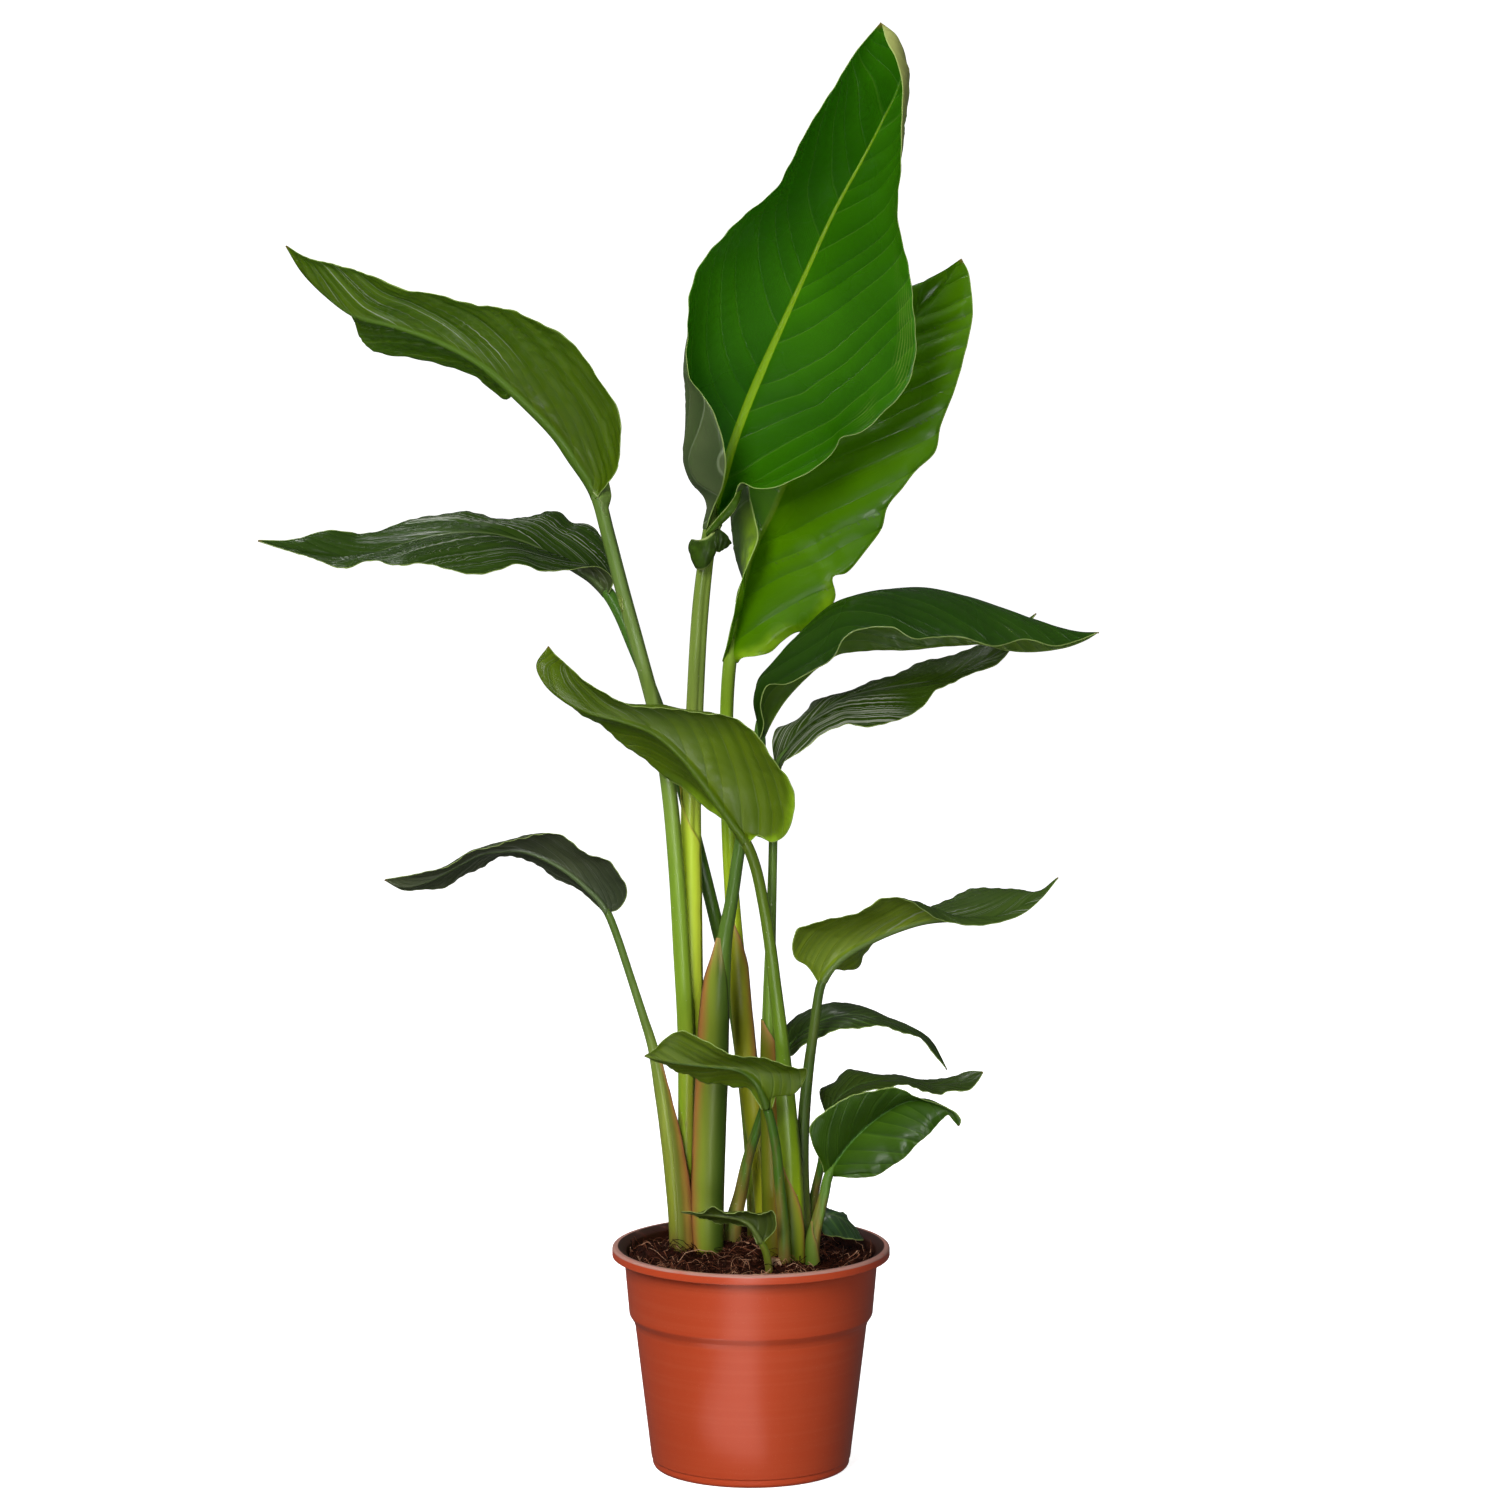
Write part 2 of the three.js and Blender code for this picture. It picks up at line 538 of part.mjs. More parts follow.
// The middle surface of a blade: rib, margins and folds as functions of the share of the
// way from stalk to tip.
function bladeGuides(leaf) {
  const curve = spine(leaf);
  const startShare = shareAt(curve, leaf.stalk.length) + JOIN_GAP / 2 / curve.getLength();
  const rib = (u) => curve.getPointAt(THREE.MathUtils.lerp(startShare, 1, u));
  const along = (u) => curve.getTangentAt(THREE.MathUtils.lerp(startShare, 1, u));
  const halfBase = leaf.stalk.at(-1)[3] + JOIN_GAP;
  const halfTip = TIP_WIDTH / 2;
  const starts = sidePoints(rib(0), along(0), leaf.left[0], leaf.right[0], halfBase);
  const ends = sidePoints(rib(1), along(1), leaf.left.at(-1), leaf.right.at(-1), halfTip);
  const margins = [leaf.left, leaf.right].map((points, i) => guide(starts[i], points, ends[i]));
  const folds = [leaf.leftFold, leaf.rightFold].map(
    (points, i) => points && guide(rib(0).lerp(starts[i], 0.5), points, rib(1).lerp(ends[i], 0.5)),
  );
  return { rib, along, margins, folds, arch: leaf.arch ?? 0 };
}

// Two points beside the spine, square to it, towards the nearest margin points
function sidePoints(centre, along, leftPoint, rightPoint, distance) {
  const across = seen(rightPoint).sub(seen(leftPoint));
  across.addScaledVector(along, -across.dot(along)).normalize();
  return [
    centre.clone().addScaledVector(across, -distance),
    centre.clone().addScaledVector(across, distance),
  ];
}

// side is -1 for the left half and 1 for the right, out is 0 at the rib and 1 at the margin.
function halfPoint(guides, u, side, out) {
  const half = side < 0 ? 0 : 1;
  const rib = guides.rib(u);
  const margin = guides.margins[half].getPointAt(u);
  const fold = guides.folds[half];
  const middle = fold ? fold.getPointAt(u) : archedMiddle(guides, u, side, rib, margin);
  const point = rib.multiplyScalar((1 - out) * (1 - 2 * out));
  point.addScaledVector(middle, 4 * out * (1 - out));
  return point.addScaledVector(margin, out * (2 * out - 1));
}

function archedMiddle(guides, u, side, rib, margin) {
  const across = margin.clone().sub(rib);
  const width = across.length();
  const up = across.multiplyScalar(side).cross(guides.along(u)).normalize();
  return rib.clone().lerp(margin, 0.5).addScaledVector(up, guides.arch * width);
}

// The blade ripples more towards its margins, and a keel runs under its rib.
function bladeGeometry(leaf, phase) {
  const guides = bladeGuides(leaf);
  const rows = leaf.rib.length + EXTRA_ROWS;
  const keelRadius = leaf.stalk.at(-1)[3];
  const ripples = FEWEST_RIPPLES + leaf.rib.length / RIB_POINTS_PER_RIPPLE;
  const middle = [];
  for (let row = 0; row <= rows; row++) {
    const u = row / rows;
    middle.push(BLADE_COLUMNS.map((v) => halfPoint(guides, u, Math.sign(v) || 1, Math.abs(v))));
  }
  const normals = middle.map((line, row) => line.map((_, j) => normalAt(middle, row, j)));
  const rings = middle.map((line, row) => {
    const u = row / rows;
    const swell = Math.sin(Math.PI * u);
    const upper = [];
    const lower = [];
    line.forEach((point, j) => {
      const v = BLADE_COLUMNS[j];
      const height = RIPPLE_HEIGHT * swell * Math.abs(v) ** 3;
      const wave = height * Math.sin(2 * Math.PI * ripples * u + phase + v);
      const keel = v === 0 ? keelRadius * (1 - KEEL_TAPER * u) : 0;
      const normal = normals[row][j];
      upper.push(point.clone().addScaledVector(normal, wave + BLADE_THICKNESS / 2));
      lower.unshift(point.clone().addScaledVector(normal, wave - BLADE_THICKNESS / 2 - keel));
    });
    return [...upper, ...lower];
  });
  return skin(rings);
}

// The direction of the upper face. At both ends, where a ring is narrow, all of it faces as the rib does.
function normalAt(grid, row, column) {
  const j = row === 0 || row === grid.length - 1 ? (grid[row].length - 1) / 2 : column;
  const ahead = grid[Math.min(row + 1, grid.length - 1)][j];
  const behind = grid[Math.max(row - 1, 0)][j];
  const right = grid[row][Math.min(j + 1, grid[row].length - 1)];
  const left = grid[row][Math.max(j - 1, 0)];
  return right.clone().sub(left).cross(ahead.clone().sub(behind)).normalize();
}

// Solids that are cut

const wasm = await Module();
wasm.setup();

function toManifold(geometry) {
  const bare = geometry.clone();
  bare.deleteAttribute("normal");
  bare.deleteAttribute("uv");
  const merged = mergeVertices(bare, 1e-4);
  return new wasm.Manifold(new wasm.Mesh({
    numProp: 3,
    vertProperties: new Float32Array(merged.attributes.position.array),
    triVerts: new Uint32Array(merged.index.array),
  }));
}

function toGeometry(manifold) {
  const mesh = manifold.getMesh();
  const geometry = new THREE.BufferGeometry();
  geometry.setAttribute("position", new THREE.BufferAttribute(mesh.vertProperties, 3));
  geometry.setIndex(new THREE.BufferAttribute(mesh.triVerts, 1));
  return geometry;
}

function lathe(profile, sides) {
  const geometry = new THREE.LatheGeometry(profile.map(([r, z]) => new THREE.Vector2(r, z)), sides);
  return geometry.rotateX(Math.PI / 2);
}

// Pot

function potGeometry() {
  const lipInner = RIM_RADIUS - LIP_TOP_WIDTH;
  const lipFoot = POT_HEIGHT - LIP_DEPTH;
  const bodyFootRadius = BASE_RADIUS + BASE_STEP;
  const outside = [
    [0, 0],
    [BASE_RADIUS - BASE_CHAMFER, 0],
    [BASE_RADIUS, BASE_CHAMFER],
    [BASE_RADIUS, BASE_STEP_HEIGHT],
    [bodyFootRadius, BASE_STEP_HEIGHT + BASE_STEP],
    [BODY_TOP_RADIUS, BODY_TOP_HEIGHT],
    [BODY_TOP_RADIUS + COLLAR_STEP_OUT, BODY_TOP_HEIGHT + COLLAR_STEP_UP],
    [COLLAR_FOOT_RADIUS, COLLAR_FOOT_HEIGHT],
    [COLLAR_TOP_RADIUS, lipFoot + WALL * 2],
    [RIM_RADIUS - WALL, lipFoot + WALL * 2],
    [RIM_RADIUS - WALL, lipFoot],
    [RIM_RADIUS, lipFoot + LIP_FOOT_CHAMFER],
    [RIM_RADIUS, POT_HEIGHT - LIP_TOP_CHAMFER],
    [RIM_RADIUS - LIP_TOP_CHAMFER, POT_HEIGHT],
    [lipInner, POT_HEIGHT],
    [COLLAR_TOP_RADIUS - WALL, POT_HEIGHT - LIP_SLOPE],
  ];
  const inside = [
    [COLLAR_FOOT_RADIUS - WALL, COLLAR_FOOT_HEIGHT],
    [BODY_TOP_RADIUS - WALL, BODY_TOP_HEIGHT],
    [BASE_RADIUS - WALL, FLOOR_THICKNESS],
    [0, FLOOR_THICKNESS],
  ];
  let pot = toManifold(lathe([...outside, ...inside], POT_SIDES));
  for (let i = 0; i < DRAIN_HOLES; i++) {
    const hole = new THREE.CylinderGeometry(DRAIN_RADIUS, DRAIN_RADIUS, FLOOR_THICKNESS * 4, DRAIN_SIDES);
    const angle = ((i + 0.5) / DRAIN_HOLES) * 2 * Math.PI;
    hole.rotateX(Math.PI / 2);
    hole.translate(DRAIN_RING_RADIUS * Math.cos(angle), DRAIN_RING_RADIUS * Math.sin(angle), 0);
    pot = pot.subtract(toManifold(hole));
  }
  return toGeometry(pot);
}

// Soil

function randomFrom(seed) {
  let state = seed;
  return () => {
    state = (state * 16807) % 2147483647;
    return state / 2147483647;
  };
}

// Lumps and hollows of the soil's surface, with a low mound round each shoot
function soilLumps() {
  const random = randomFrom(SOIL_SEED);
  const lumps = [
    { x: -34, y: 28, height: 4, width: 20 },
    { x: -6, y: 22, height: 6, width: 16 },
    { x: 27, y: -2, height: 1.5, width: 20 },
    { x: 50, y: 20, height: -5, width: 18 },
    { x: -62, y: 10, height: 3, width: 14 },
  ];
  for (let i = 0; i < SOIL_LUMPS; i++) {
    const angle = random() * 2 * Math.PI;
    const radius = LUMP_REACH * Math.sqrt(random());
    const height = (random() - 0.5) * LUMP_HEIGHTS;
    const width = LUMP_WIDTH + LUMP_WIDTHS * random();
    lumps.push({ x: radius * Math.cos(angle), y: radius * Math.sin(angle), height, width });
  }
  return lumps;
}

function soilGeometry() {
  const lumps = soilLumps();
  const surface = (x, y) => lumps.reduce(
    (z, lump) => z + lump.height * Math.exp(-((x - lump.x) ** 2 + (y - lump.y) ** 2) / lump.width ** 2),
    SOIL_HEIGHT,
  );
  const edge = COLLAR_FOOT_RADIUS - WALL - GAP;
  const slope = (COLLAR_TOP_RADIUS - COLLAR_FOOT_RADIUS) / (POT_HEIGHT - COLLAR_FOOT_HEIGHT);
  const topRadius = edge + slope * (SOIL_HEIGHT - COLLAR_FOOT_HEIGHT) - GAP * 2;
  const profile = [
    [0, FLOOR_THICKNESS + GAP],
    [BASE_RADIUS - WALL - GAP * 2, FLOOR_THICKNESS + GAP],
    [BODY_TOP_RADIUS - WALL - GAP * 2, BODY_TOP_HEIGHT],
    [edge - GAP, COLLAR_FOOT_HEIGHT],
    [topRadius, SOIL_HEIGHT - SOIL_EDGE_DROP],
  ];
  for (let i = 1; i <= SOIL_TOP_RINGS; i++) {
    profile.push([topRadius * (1 - i / SOIL_TOP_RINGS), SOIL_HEIGHT]);
  }
  const geometry = lathe(profile, SOIL_SIDES);
  const position = geometry.attributes.position;
  for (let i = 0; i < position.count; i++) {
    if (position.getZ(i) === SOIL_HEIGHT) {
      position.setZ(i, surface(position.getX(i), position.getY(i)));
    }
  }
  return geometry;
}

function soilWithHoles() {
  let soil = toManifold(soilGeometry());
  for (const leaf of Object.values(LEAVES)) soil = soil.subtract(toManifold(stalkGeometry(leaf, GAP)));
  return toGeometry(soil);
}

// The plant in its pot

function piece(name, geometry, color, roughness) {
  const material = new THREE.MeshStandardMaterial({ color, roughness, metalness: 0 });
  const mesh = new THREE.Mesh(geometry, material);
  mesh.name = name;
  return mesh;
}

const plant = new THREE.Group();
plant.add(piece("pot", potGeometry(), "#b4492c", 0.45));
plant.add(piece("soil", soilWithHoles(), "#3c1e14", 1));
Object.entries(LEAVES).forEach(([name, leaf], index) => {
  plant.add(piece(`${name}_stalk`, stalkGeometry(leaf, 0), "#7d963c", 0.4));
  plant.add(piece(`${name}_blade`, bladeGeometry(leaf, index), "#2f6414", 0.3));
});

export default plant;
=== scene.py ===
# A young bird of paradise plant in a terracotta coloured plastic pot.
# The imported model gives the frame: every leaf, the soil and the pot get a finer piece in its place.
# Lengths are in millimetres, except on the stage.
import math

import bmesh
import bpy
import numpy as np
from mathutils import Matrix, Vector, noise


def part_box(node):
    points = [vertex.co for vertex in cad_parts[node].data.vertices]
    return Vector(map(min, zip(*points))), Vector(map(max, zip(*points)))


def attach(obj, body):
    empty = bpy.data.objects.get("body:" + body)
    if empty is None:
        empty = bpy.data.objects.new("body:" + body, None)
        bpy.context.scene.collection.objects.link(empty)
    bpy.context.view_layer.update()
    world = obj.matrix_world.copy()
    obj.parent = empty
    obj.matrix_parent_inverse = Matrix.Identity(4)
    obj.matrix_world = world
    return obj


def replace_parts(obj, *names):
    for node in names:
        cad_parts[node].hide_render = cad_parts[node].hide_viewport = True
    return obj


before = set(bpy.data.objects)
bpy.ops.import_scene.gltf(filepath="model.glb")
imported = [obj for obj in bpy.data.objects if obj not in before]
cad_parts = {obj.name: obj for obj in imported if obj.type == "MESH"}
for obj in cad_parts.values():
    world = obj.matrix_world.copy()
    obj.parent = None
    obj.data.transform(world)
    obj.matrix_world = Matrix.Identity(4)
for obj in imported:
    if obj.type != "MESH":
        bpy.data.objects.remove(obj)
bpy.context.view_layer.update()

MM = 0.001
FULL_TURN = 2 * math.pi

# The eye of the photograph, how far it looks down in degrees, and its lens
EYE_DISTANCE = 3200
EYE_HEIGHT = 846
LOOK_DOWN = 7.2
FOCAL_LENGTH = 127.9
SENSOR = 36
SHIFT_X = -0.00067
SHIFT_Y = 0.00077

# Blades. The heights in the leaves' points are read from SEEN_BASE below the pot's underside.
SEEN_BASE = 1.5
FOOT_HEIGHT = 100
JOIN_GAP = 0.7
TIP_WIDTH = 1.2
BLADE_THICKNESS = 0.55
MARGIN_THINNING = 0.45
RIPPLE_HEIGHT = 1.1
FRILL_HEIGHT = 0.35
FRILLS_TO_A_RIPPLE = 3.7
PLEAT_SHARE = 0.05
VEIN_STEP_SHARE = 0.36
SMALLEST_VEIN_STEP = 7
LARGEST_VEIN_STEP = 21
FINE_VEIN_STEP = 1.3
TIP_LEAN = 1.1
VEIN_CURVE = 0.25
RIGHT_VEINS_AHEAD = 0.45
GROOVE_SHARE = 0.22
KEEL_TAPER = 0.9
ROW_STEP = 1.9
EXTRA_ROWS = 24
RIB_COLUMNS = 5
OUTER_COLUMNS = 18
CURVE_STEPS = 24

# Stalks
STALK_SIDES = 32
STALK_STEP = 4
FLUTES = 9
FLUTE_SHARE = 0.018
CHANNEL_WIDTH = 0.42
CHANNEL_SHARE = 0.26
BLEND_LENGTH = 16
BLEND_SHARE = 0.08
BLEND_TAPER = 0.94
BLEND_ROWS = 9

# Pot, its height and rim radius from the frame
POT_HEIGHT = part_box("pot")[1].z / MM
RIM_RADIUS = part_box("pot")[1].x / MM
LIP_DEPTH = 6
LIP_TOP_WIDTH = 4.6
COLLAR_TOP_RADIUS = 78
COLLAR_FOOT_RADIUS = 74.6
COLLAR_FOOT_HEIGHT = 95
BODY_TOP_RADIUS = 71
BODY_TOP_HEIGHT = 88
BASE_RADIUS = 60.5
BASE_STEP_HEIGHT = 5
BASE_STEP = 0.7
WALL = 1.6
FLOOR_THICKNESS = 2.4
CORNER_RADIUS = 0.9
SHARP_ANGLE = 38
POT_SIDES = 144
DRAIN_HOLES = 8
DRAIN_RADIUS = 4.5
DRAIN_RING_RADIUS = 38
DRAIN_SIDES = 32
WORN_RIM_DEPTH = 1.5

# Soil. A lump or hollow has its place, its height and its width; more of them are drawn at random. A fibre
# has three corners, given by their angles round it in radians.
SOIL_HEIGHT = 126
SOIL_LUMPS = [
    (-34, 28, 4, 20), (-6, 22, 6, 16), (27, -2, 1.5, 20), (50, 20, -5, 18), (-62, 10, 3, 14),
    (19, -26, 4.5, 11), (-16, -36, -3.5, 13),
]
DRAWN_LUMPS = 26
LUMP_SEED = 11
LUMP_SPREAD = 70
LUMP_HEIGHTS = 5
NARROWEST_LUMP = 5
WIDEST_LUMP = 11
HEAP_START = 50
HEAP_WIDTH = 20
HEAP_HEIGHT = 3.4
SOIL_GAP = 0.9
EDGE_DEPTH = 6
SOIL_RINGS = 70
SOIL_SIDES = 180
CRUMBS = 1500
CRUMB_SEED = 5
SMALLEST_CRUMB = 0.4
LARGEST_CRUMB = 1.9
FIBRES = 1300
FIBRE_SEED = 8
FIBRE_STEPS = 9
FIBRE_CORNERS = (0, 2.1, 4.2)
SHORTEST_FIBRE = 8
LONGEST_FIBRE = 42
THINNEST_FIBRE = 0.12
THICKEST_FIBRE = 0.32
FIBRE_LIFT = 3.4
CLIMBING_SHARE = 0.12
CLIMB_HEIGHT = 9

# Stage, in metres
STAGE_SIDES = 96
FLOOR_RADIUS = 0.6
FLOOR_GLOW = 0.85
WALL_RADIUS = 6
WALL_HEIGHT = 9
WALL_GLOW = 1.0
PATCH_X = (-0.1, 0.02)
PATCH_Y = (-0.7, -0.09)
PATCH_HEIGHT = 0.001
PATCH_GLOW = 1.1
WORLD_GLOW = 0.1

# Lights, in metres and watts: place, target, size, power, and whether they show in gloss and light surfaces
PLANT_MIDDLE = (0, 0, 0.45)
LIGHTS = {
    "key": ((-0.9, -2.2, 1.75), PLANT_MIDDLE, (0.9, 1.4), 74, False, True),
    "low": ((-0.05, -1.3, 0.1), (0, 0, 0.25), (0.3, 0.3), 4, True, True),
    "fill": ((1.3, -2.2, 1.0), PLANT_MIDDLE, (1.0, 1.4), 9, False, True),
    "top": ((-0.1, 0.2, 2.3), PLANT_MIDDLE, (1.4, 1.0), 14, False, True),
    "glint": ((-0.5, 0.5, 2.2), PLANT_MIDDLE, (0.3, 0.3), 7, True, False),
    "back": ((-1.5, 0.9, 1.1), PLANT_MIDDLE, (0.7, 1.4), 16, False, True),
}

# Each leaf: where its stalk starts inside the soil, then points of the stalk (with its radius), of the rib,
# of both margins, and of the line down the middle of a half that folds. A point is x and height as they are
# seen on the upright plane through the pot's axis, and how far it lies behind that plane. The arch is how far
# a half that doesn't fold swells, as a share of its width.
LEAVES = {
  "leaf_01": {
    "foot": [-33, 45],
    "stalk": [
      [-34.5, 150, 44, 6], [-35.5, 210, 41, 6.4], [-36.2, 300, 36, 7.1], [-36.5, 355, 34, 6.9],
      [-36, 415, 32, 5.8], [-33.8, 474, 30, 5.3], [-30.3, 532, 28, 5.1], [-24.5, 577, 25, 4.6],
    ],
    "rib": [
      [-18.6, 603, 28], [-10, 631, 33], [2.5, 664, 37], [18.5, 700, 39], [34, 734, 38], [49.7, 768, 33],
      [66.5, 799, 26], [79, 823, 18], [88, 842, 10], [90.5, 855, 4], [86, 869, -1], [77, 880, -6],
    ],
    "left": [
      [-22.5, 591, 12], [-17, 604, 0], [-14.8, 620, -8], [-18.6, 637, -12], [-26, 654, -14],
      [-36, 669, -14], [-38.5, 690, -13], [-38, 714, -13], [-30, 736, -14], [-12, 760, -16],
      [14, 780, -18], [22, 796, -20], [28, 808, -20], [42, 830, -18], [60, 860, -14],
    ],
    "left_fold": [
      [-28, 596, 20], [-37.5, 608, 15], [-41, 621, 13], [-39.5, 640, 12], [-36, 668, 12], [-24, 703, 16],
      [-6, 738, 14], [14, 768, 10], [34, 795, 6], [50, 820, 2], [67, 848, -3],
    ],
    "right": [
      [-18.5, 585, 20], [-11.6, 594, 14], [-6.2, 606, 9], [1.4, 603, 7], [10, 602, 5], [21, 605, 4],
      [39, 615, 3], [50.5, 627, 2], [54, 633, 1], [67, 636, -2], [81, 649, -4], [91.6, 661.5, -6],
      [98.4, 680, -8], [99.5, 695, -8], [97, 715, -8], [91.2, 750, -14], [88.2, 770, -18],
      [88.6, 790, -22], [90, 816, -24], [90.3, 842, -22], [86, 859, -18], [80.8, 869, -14],
    ],
    "right_fold": [
      [-9, 599, 20], [8, 615, 22], [25, 632, 22], [45, 655, 20], [60, 680, 18], [67, 705, 16],
      [71, 730, 12], [76, 758, 6], [82, 785, 0], [89, 812, -6], [94, 836, -7], [94.5, 851, -7],
      [91.5, 862, -7], [86, 873, -7],
    ],
  },
  "leaf_02": {
    "foot": [9, 48],
    "stalk": [
      [9, 150, 48, 6.2], [7.5, 180, 48, 6.5], [4.5, 205, 47, 6.8], [0, 235, 46, 7],
      [-4.5, 272, 45, 6.4], [-8.5, 314, 45, 5.3], [-11.7, 358, 45, 4.5], [-13.8, 400, 45, 4.3],
      [-14.7, 465, 45, 4.1], [-12.8, 497, 44, 4.2],
    ],
    "rib": [
      [-9.9, 515, 46], [-4.7, 542, 50], [2.9, 567, 54], [14, 589, 58], [24, 611, 61], [42, 640, 66],
      [66, 672, 68], [90, 699, 66], [110, 719, 61], [126, 740, 54],
    ],
    "left": [
      [-15.5, 505, 37], [-12, 520, 30], [-7, 541, 24], [-3, 556, 22], [3.5, 573, 24], [1, 591, 30],
      [-1, 606, 40], [2, 630, 52], [6, 655, 62], [18, 680, 78], [38, 698, 88], [60, 710, 88],
      [80, 719, 82], [95, 724, 74], [107, 727.5, 66], [117, 732, 60],
    ],
    "left_fold": [
      [-12, 520, 44], [-5.5, 542, 43], [-8.4, 556, 43], [-11.5, 570, 44], [-13, 584, 47], [-7, 606, 52],
      [8, 636, 60], [26, 663, 68], [52, 690, 74], [80, 709, 72], [106, 726, 64],
    ],
    "right": [
      [-5, 500, 38], [3, 501, 36], [12, 503.5, 35], [19, 510, 34], [28, 515.6, 34], [41, 516, 33],
      [47, 528, 32], [51, 537, 31], [49.6, 549, 31], [57.6, 551.4, 31], [69.4, 565, 30], [79, 579, 30],
      [82, 591, 30], [91, 602, 30], [100, 613.6, 30], [110.5, 624, 31], [114, 640, 32], [122, 660, 34],
      [128, 682, 37], [133, 707, 42], [132, 722, 47], [130, 733, 51],
    ],
    "arch": 0.08,
  },
  "leaf_03": {
    "foot": [-40, 33],
    "stalk": [
      [-40.5, 150, 32, 4.9], [-39.5, 210, 29, 5.2], [-39.5, 270, 26, 5.5], [-42, 320, 23, 5.5],
      [-45, 370, 20, 5.2], [-49.5, 420, 17, 5], [-56, 460, 15, 4.8], [-67, 503, 12, 4.6],
      [-77, 540, 10, 4.5], [-86, 575, 8, 4.4], [-92, 597, 7, 4.4],
    ],
    "rib": [
      [-97, 607, 6], [-107, 621, 4], [-117, 635, 2], [-139, 657, -1], [-162, 677, -3],
      [-188, 691, -5], [-214, 700, -7], [-237, 706, -8], [-254, 718, -8], [-268, 732, -8],
      [-278, 748, -8],
    ],
    "left": [
      [-90, 601, -1], [-81, 613, -8], [-78.5, 628, -14], [-80, 648, -19], [-90, 667, -24],
      [-102, 683, -28], [-120, 699, -30], [-142, 708.5, -28], [-162, 711.5, -26], [-187, 719, -30],
      [-206, 720, -29], [-226, 730, -27], [-246, 735.5, -22], [-266, 741, -15],
    ],
    "right": [
      [-87, 606, 16], [-84, 624, 32], [-93, 646, 42], [-112, 671, 45], [-133, 676, 44],
      [-147, 656, 40], [-160, 664, 38], [-171, 672, 36], [-185, 677, 35], [-202, 680, 33],
      [-222, 683, 28], [-232, 690, 21], [-240, 706, 10], [-256, 724, 4], [-269, 738, -2],
    ],
    "arch": 0.06,
  },
  "leaf_04": {
    "foot": [2, 61],
    "stalk": [
      [2, 150, 61, 4.4], [0, 200, 60, 4.5], [-6, 260, 58, 4.5], [-13, 305, 56, 4.4],
      [-20, 335, 53, 4.4], [-25.5, 358, 50, 4.3], [-34, 392, 46, 4.3], [-43.5, 430, 41, 4.2],
      [-56, 470, 35, 4.1], [-71, 508, 29, 4.1], [-79.5, 528, 27, 4.1], [-86, 539, 26, 4],
    ],
    "rib": [
      [-95, 548, 24], [-105, 554.5, 21], [-120, 562, 18], [-140, 571, 14], [-165, 576, 10],
      [-190, 574, 8], [-212, 568, 6], [-235, 561.5, 5], [-256, 561, 4], [-276, 565, 3],
      [-297, 571, 2],
    ],
    "left": [
      [-83, 547, 19], [-90, 554.5, 15], [-99, 554.5, 8], [-108, 553, 0], [-127, 553, -14],
      [-140, 556, -20], [-152, 553, -25], [-166, 551, -28], [-182, 552.5, -28], [-200, 557.5, -24],
      [-215, 556, -21], [-229, 558, -17], [-246, 554.5, -13], [-262, 559, -7], [-280, 565, -1],
    ],
    "right": [
      [-84, 552, 34], [-89, 570, 42], [-97, 581, 47], [-107, 582, 48], [-117, 588, 46],
      [-132, 585, 44], [-155, 584, 42], [-172, 588, 38], [-192, 586.5, 34], [-210, 581, 27],
      [-235, 575.5, 19], [-255, 577, 12], [-278, 571.5, 6],
    ],
    "arch": 0.06,
  },
  "leaf_05": {
    "foot": [26, -8],
    "stalk": [
      [25.5, 150, -9, 7.5], [23.5, 195, -12, 7], [21, 232, -13, 5.8], [19, 262, -14, 4.3],
      [14.5, 300, -16, 3.9], [11.5, 325, -18, 3.6], [7.5, 350, -20, 3.4], [2.5, 373, -23, 3.4],
      [-3, 387, -25, 3.4],
    ],
    "rib": [
      [-12, 400, -27], [-22, 414, -29], [-33, 429, -30], [-45, 443, -31], [-60, 455, -32],
      [-79, 462, -33], [-99, 467, -34], [-114, 475, -35], [-125, 485, -36], [-129.5, 496, -36],
      [-122, 507, -36],
    ],
    "left": [
      [4.5, 392, -27], [12, 387.5, -28], [20, 391, -32], [25, 402, -38], [27, 415, -43],
      [24, 424, -47], [14, 436, -51], [5, 452.5, -54], [-10, 462, -55], [-36, 468, -54],
      [-56, 468.5, -53], [-72, 471.5, -51], [-97, 483, -48], [-111, 496, -44], [-118, 502, -41],
    ],
    "right": [
      [-9, 394, -20], [-18, 402, -14], [-30, 411, -9], [-45, 423, -6], [-55, 430, -5],
      [-68, 440, -5], [-80, 450, -7], [-95, 461, -12], [-109, 471, -20], [-121, 483, -28],
      [-127, 495, -32],
    ],
    "arch": 0.1,
  },
  "leaf_06": {
    "foot": [-26, 20],
    "stalk": [
      [-26, 150, 20, 9.3], [-24.5, 200, 20, 9], [-22, 250, 18, 8.4], [-19.5, 295, 15, 7],
      [-16, 330, 12, 4.9], [-12, 352, 9, 4.2], [-7, 385, 4, 3.9], [-1, 415, 0, 3.9],
      [5, 446, -2, 3.9],
    ],
    "rib": [
      [3.5, 460, -2], [2, 474, -2], [5, 487, -1], [13, 498, 0], [27, 513, 0], [48, 532, 0],
      [72, 540, 0], [102, 543, 0], [128, 538, 0], [150, 531, 0], [175, 522, 0], [197, 516, 0],
      [210, 515.5, 0],
    ],
    "left": [
      [12, 459, 5], [19, 471, 12], [28, 482, 19], [40, 493, 26], [53, 502, 31], [72, 504, 34],
      [100, 505, 34], [122, 507, 32], [139, 508, 28], [152, 504.5, 24], [172, 503.5, 16],
      [190, 506, 9], [203, 511, 3],
    ],
    "right": [
      [8, 459, -7], [6, 472, -11], [10, 483, -14], [22, 484, -19], [37, 492, -26], [50, 500, -31],
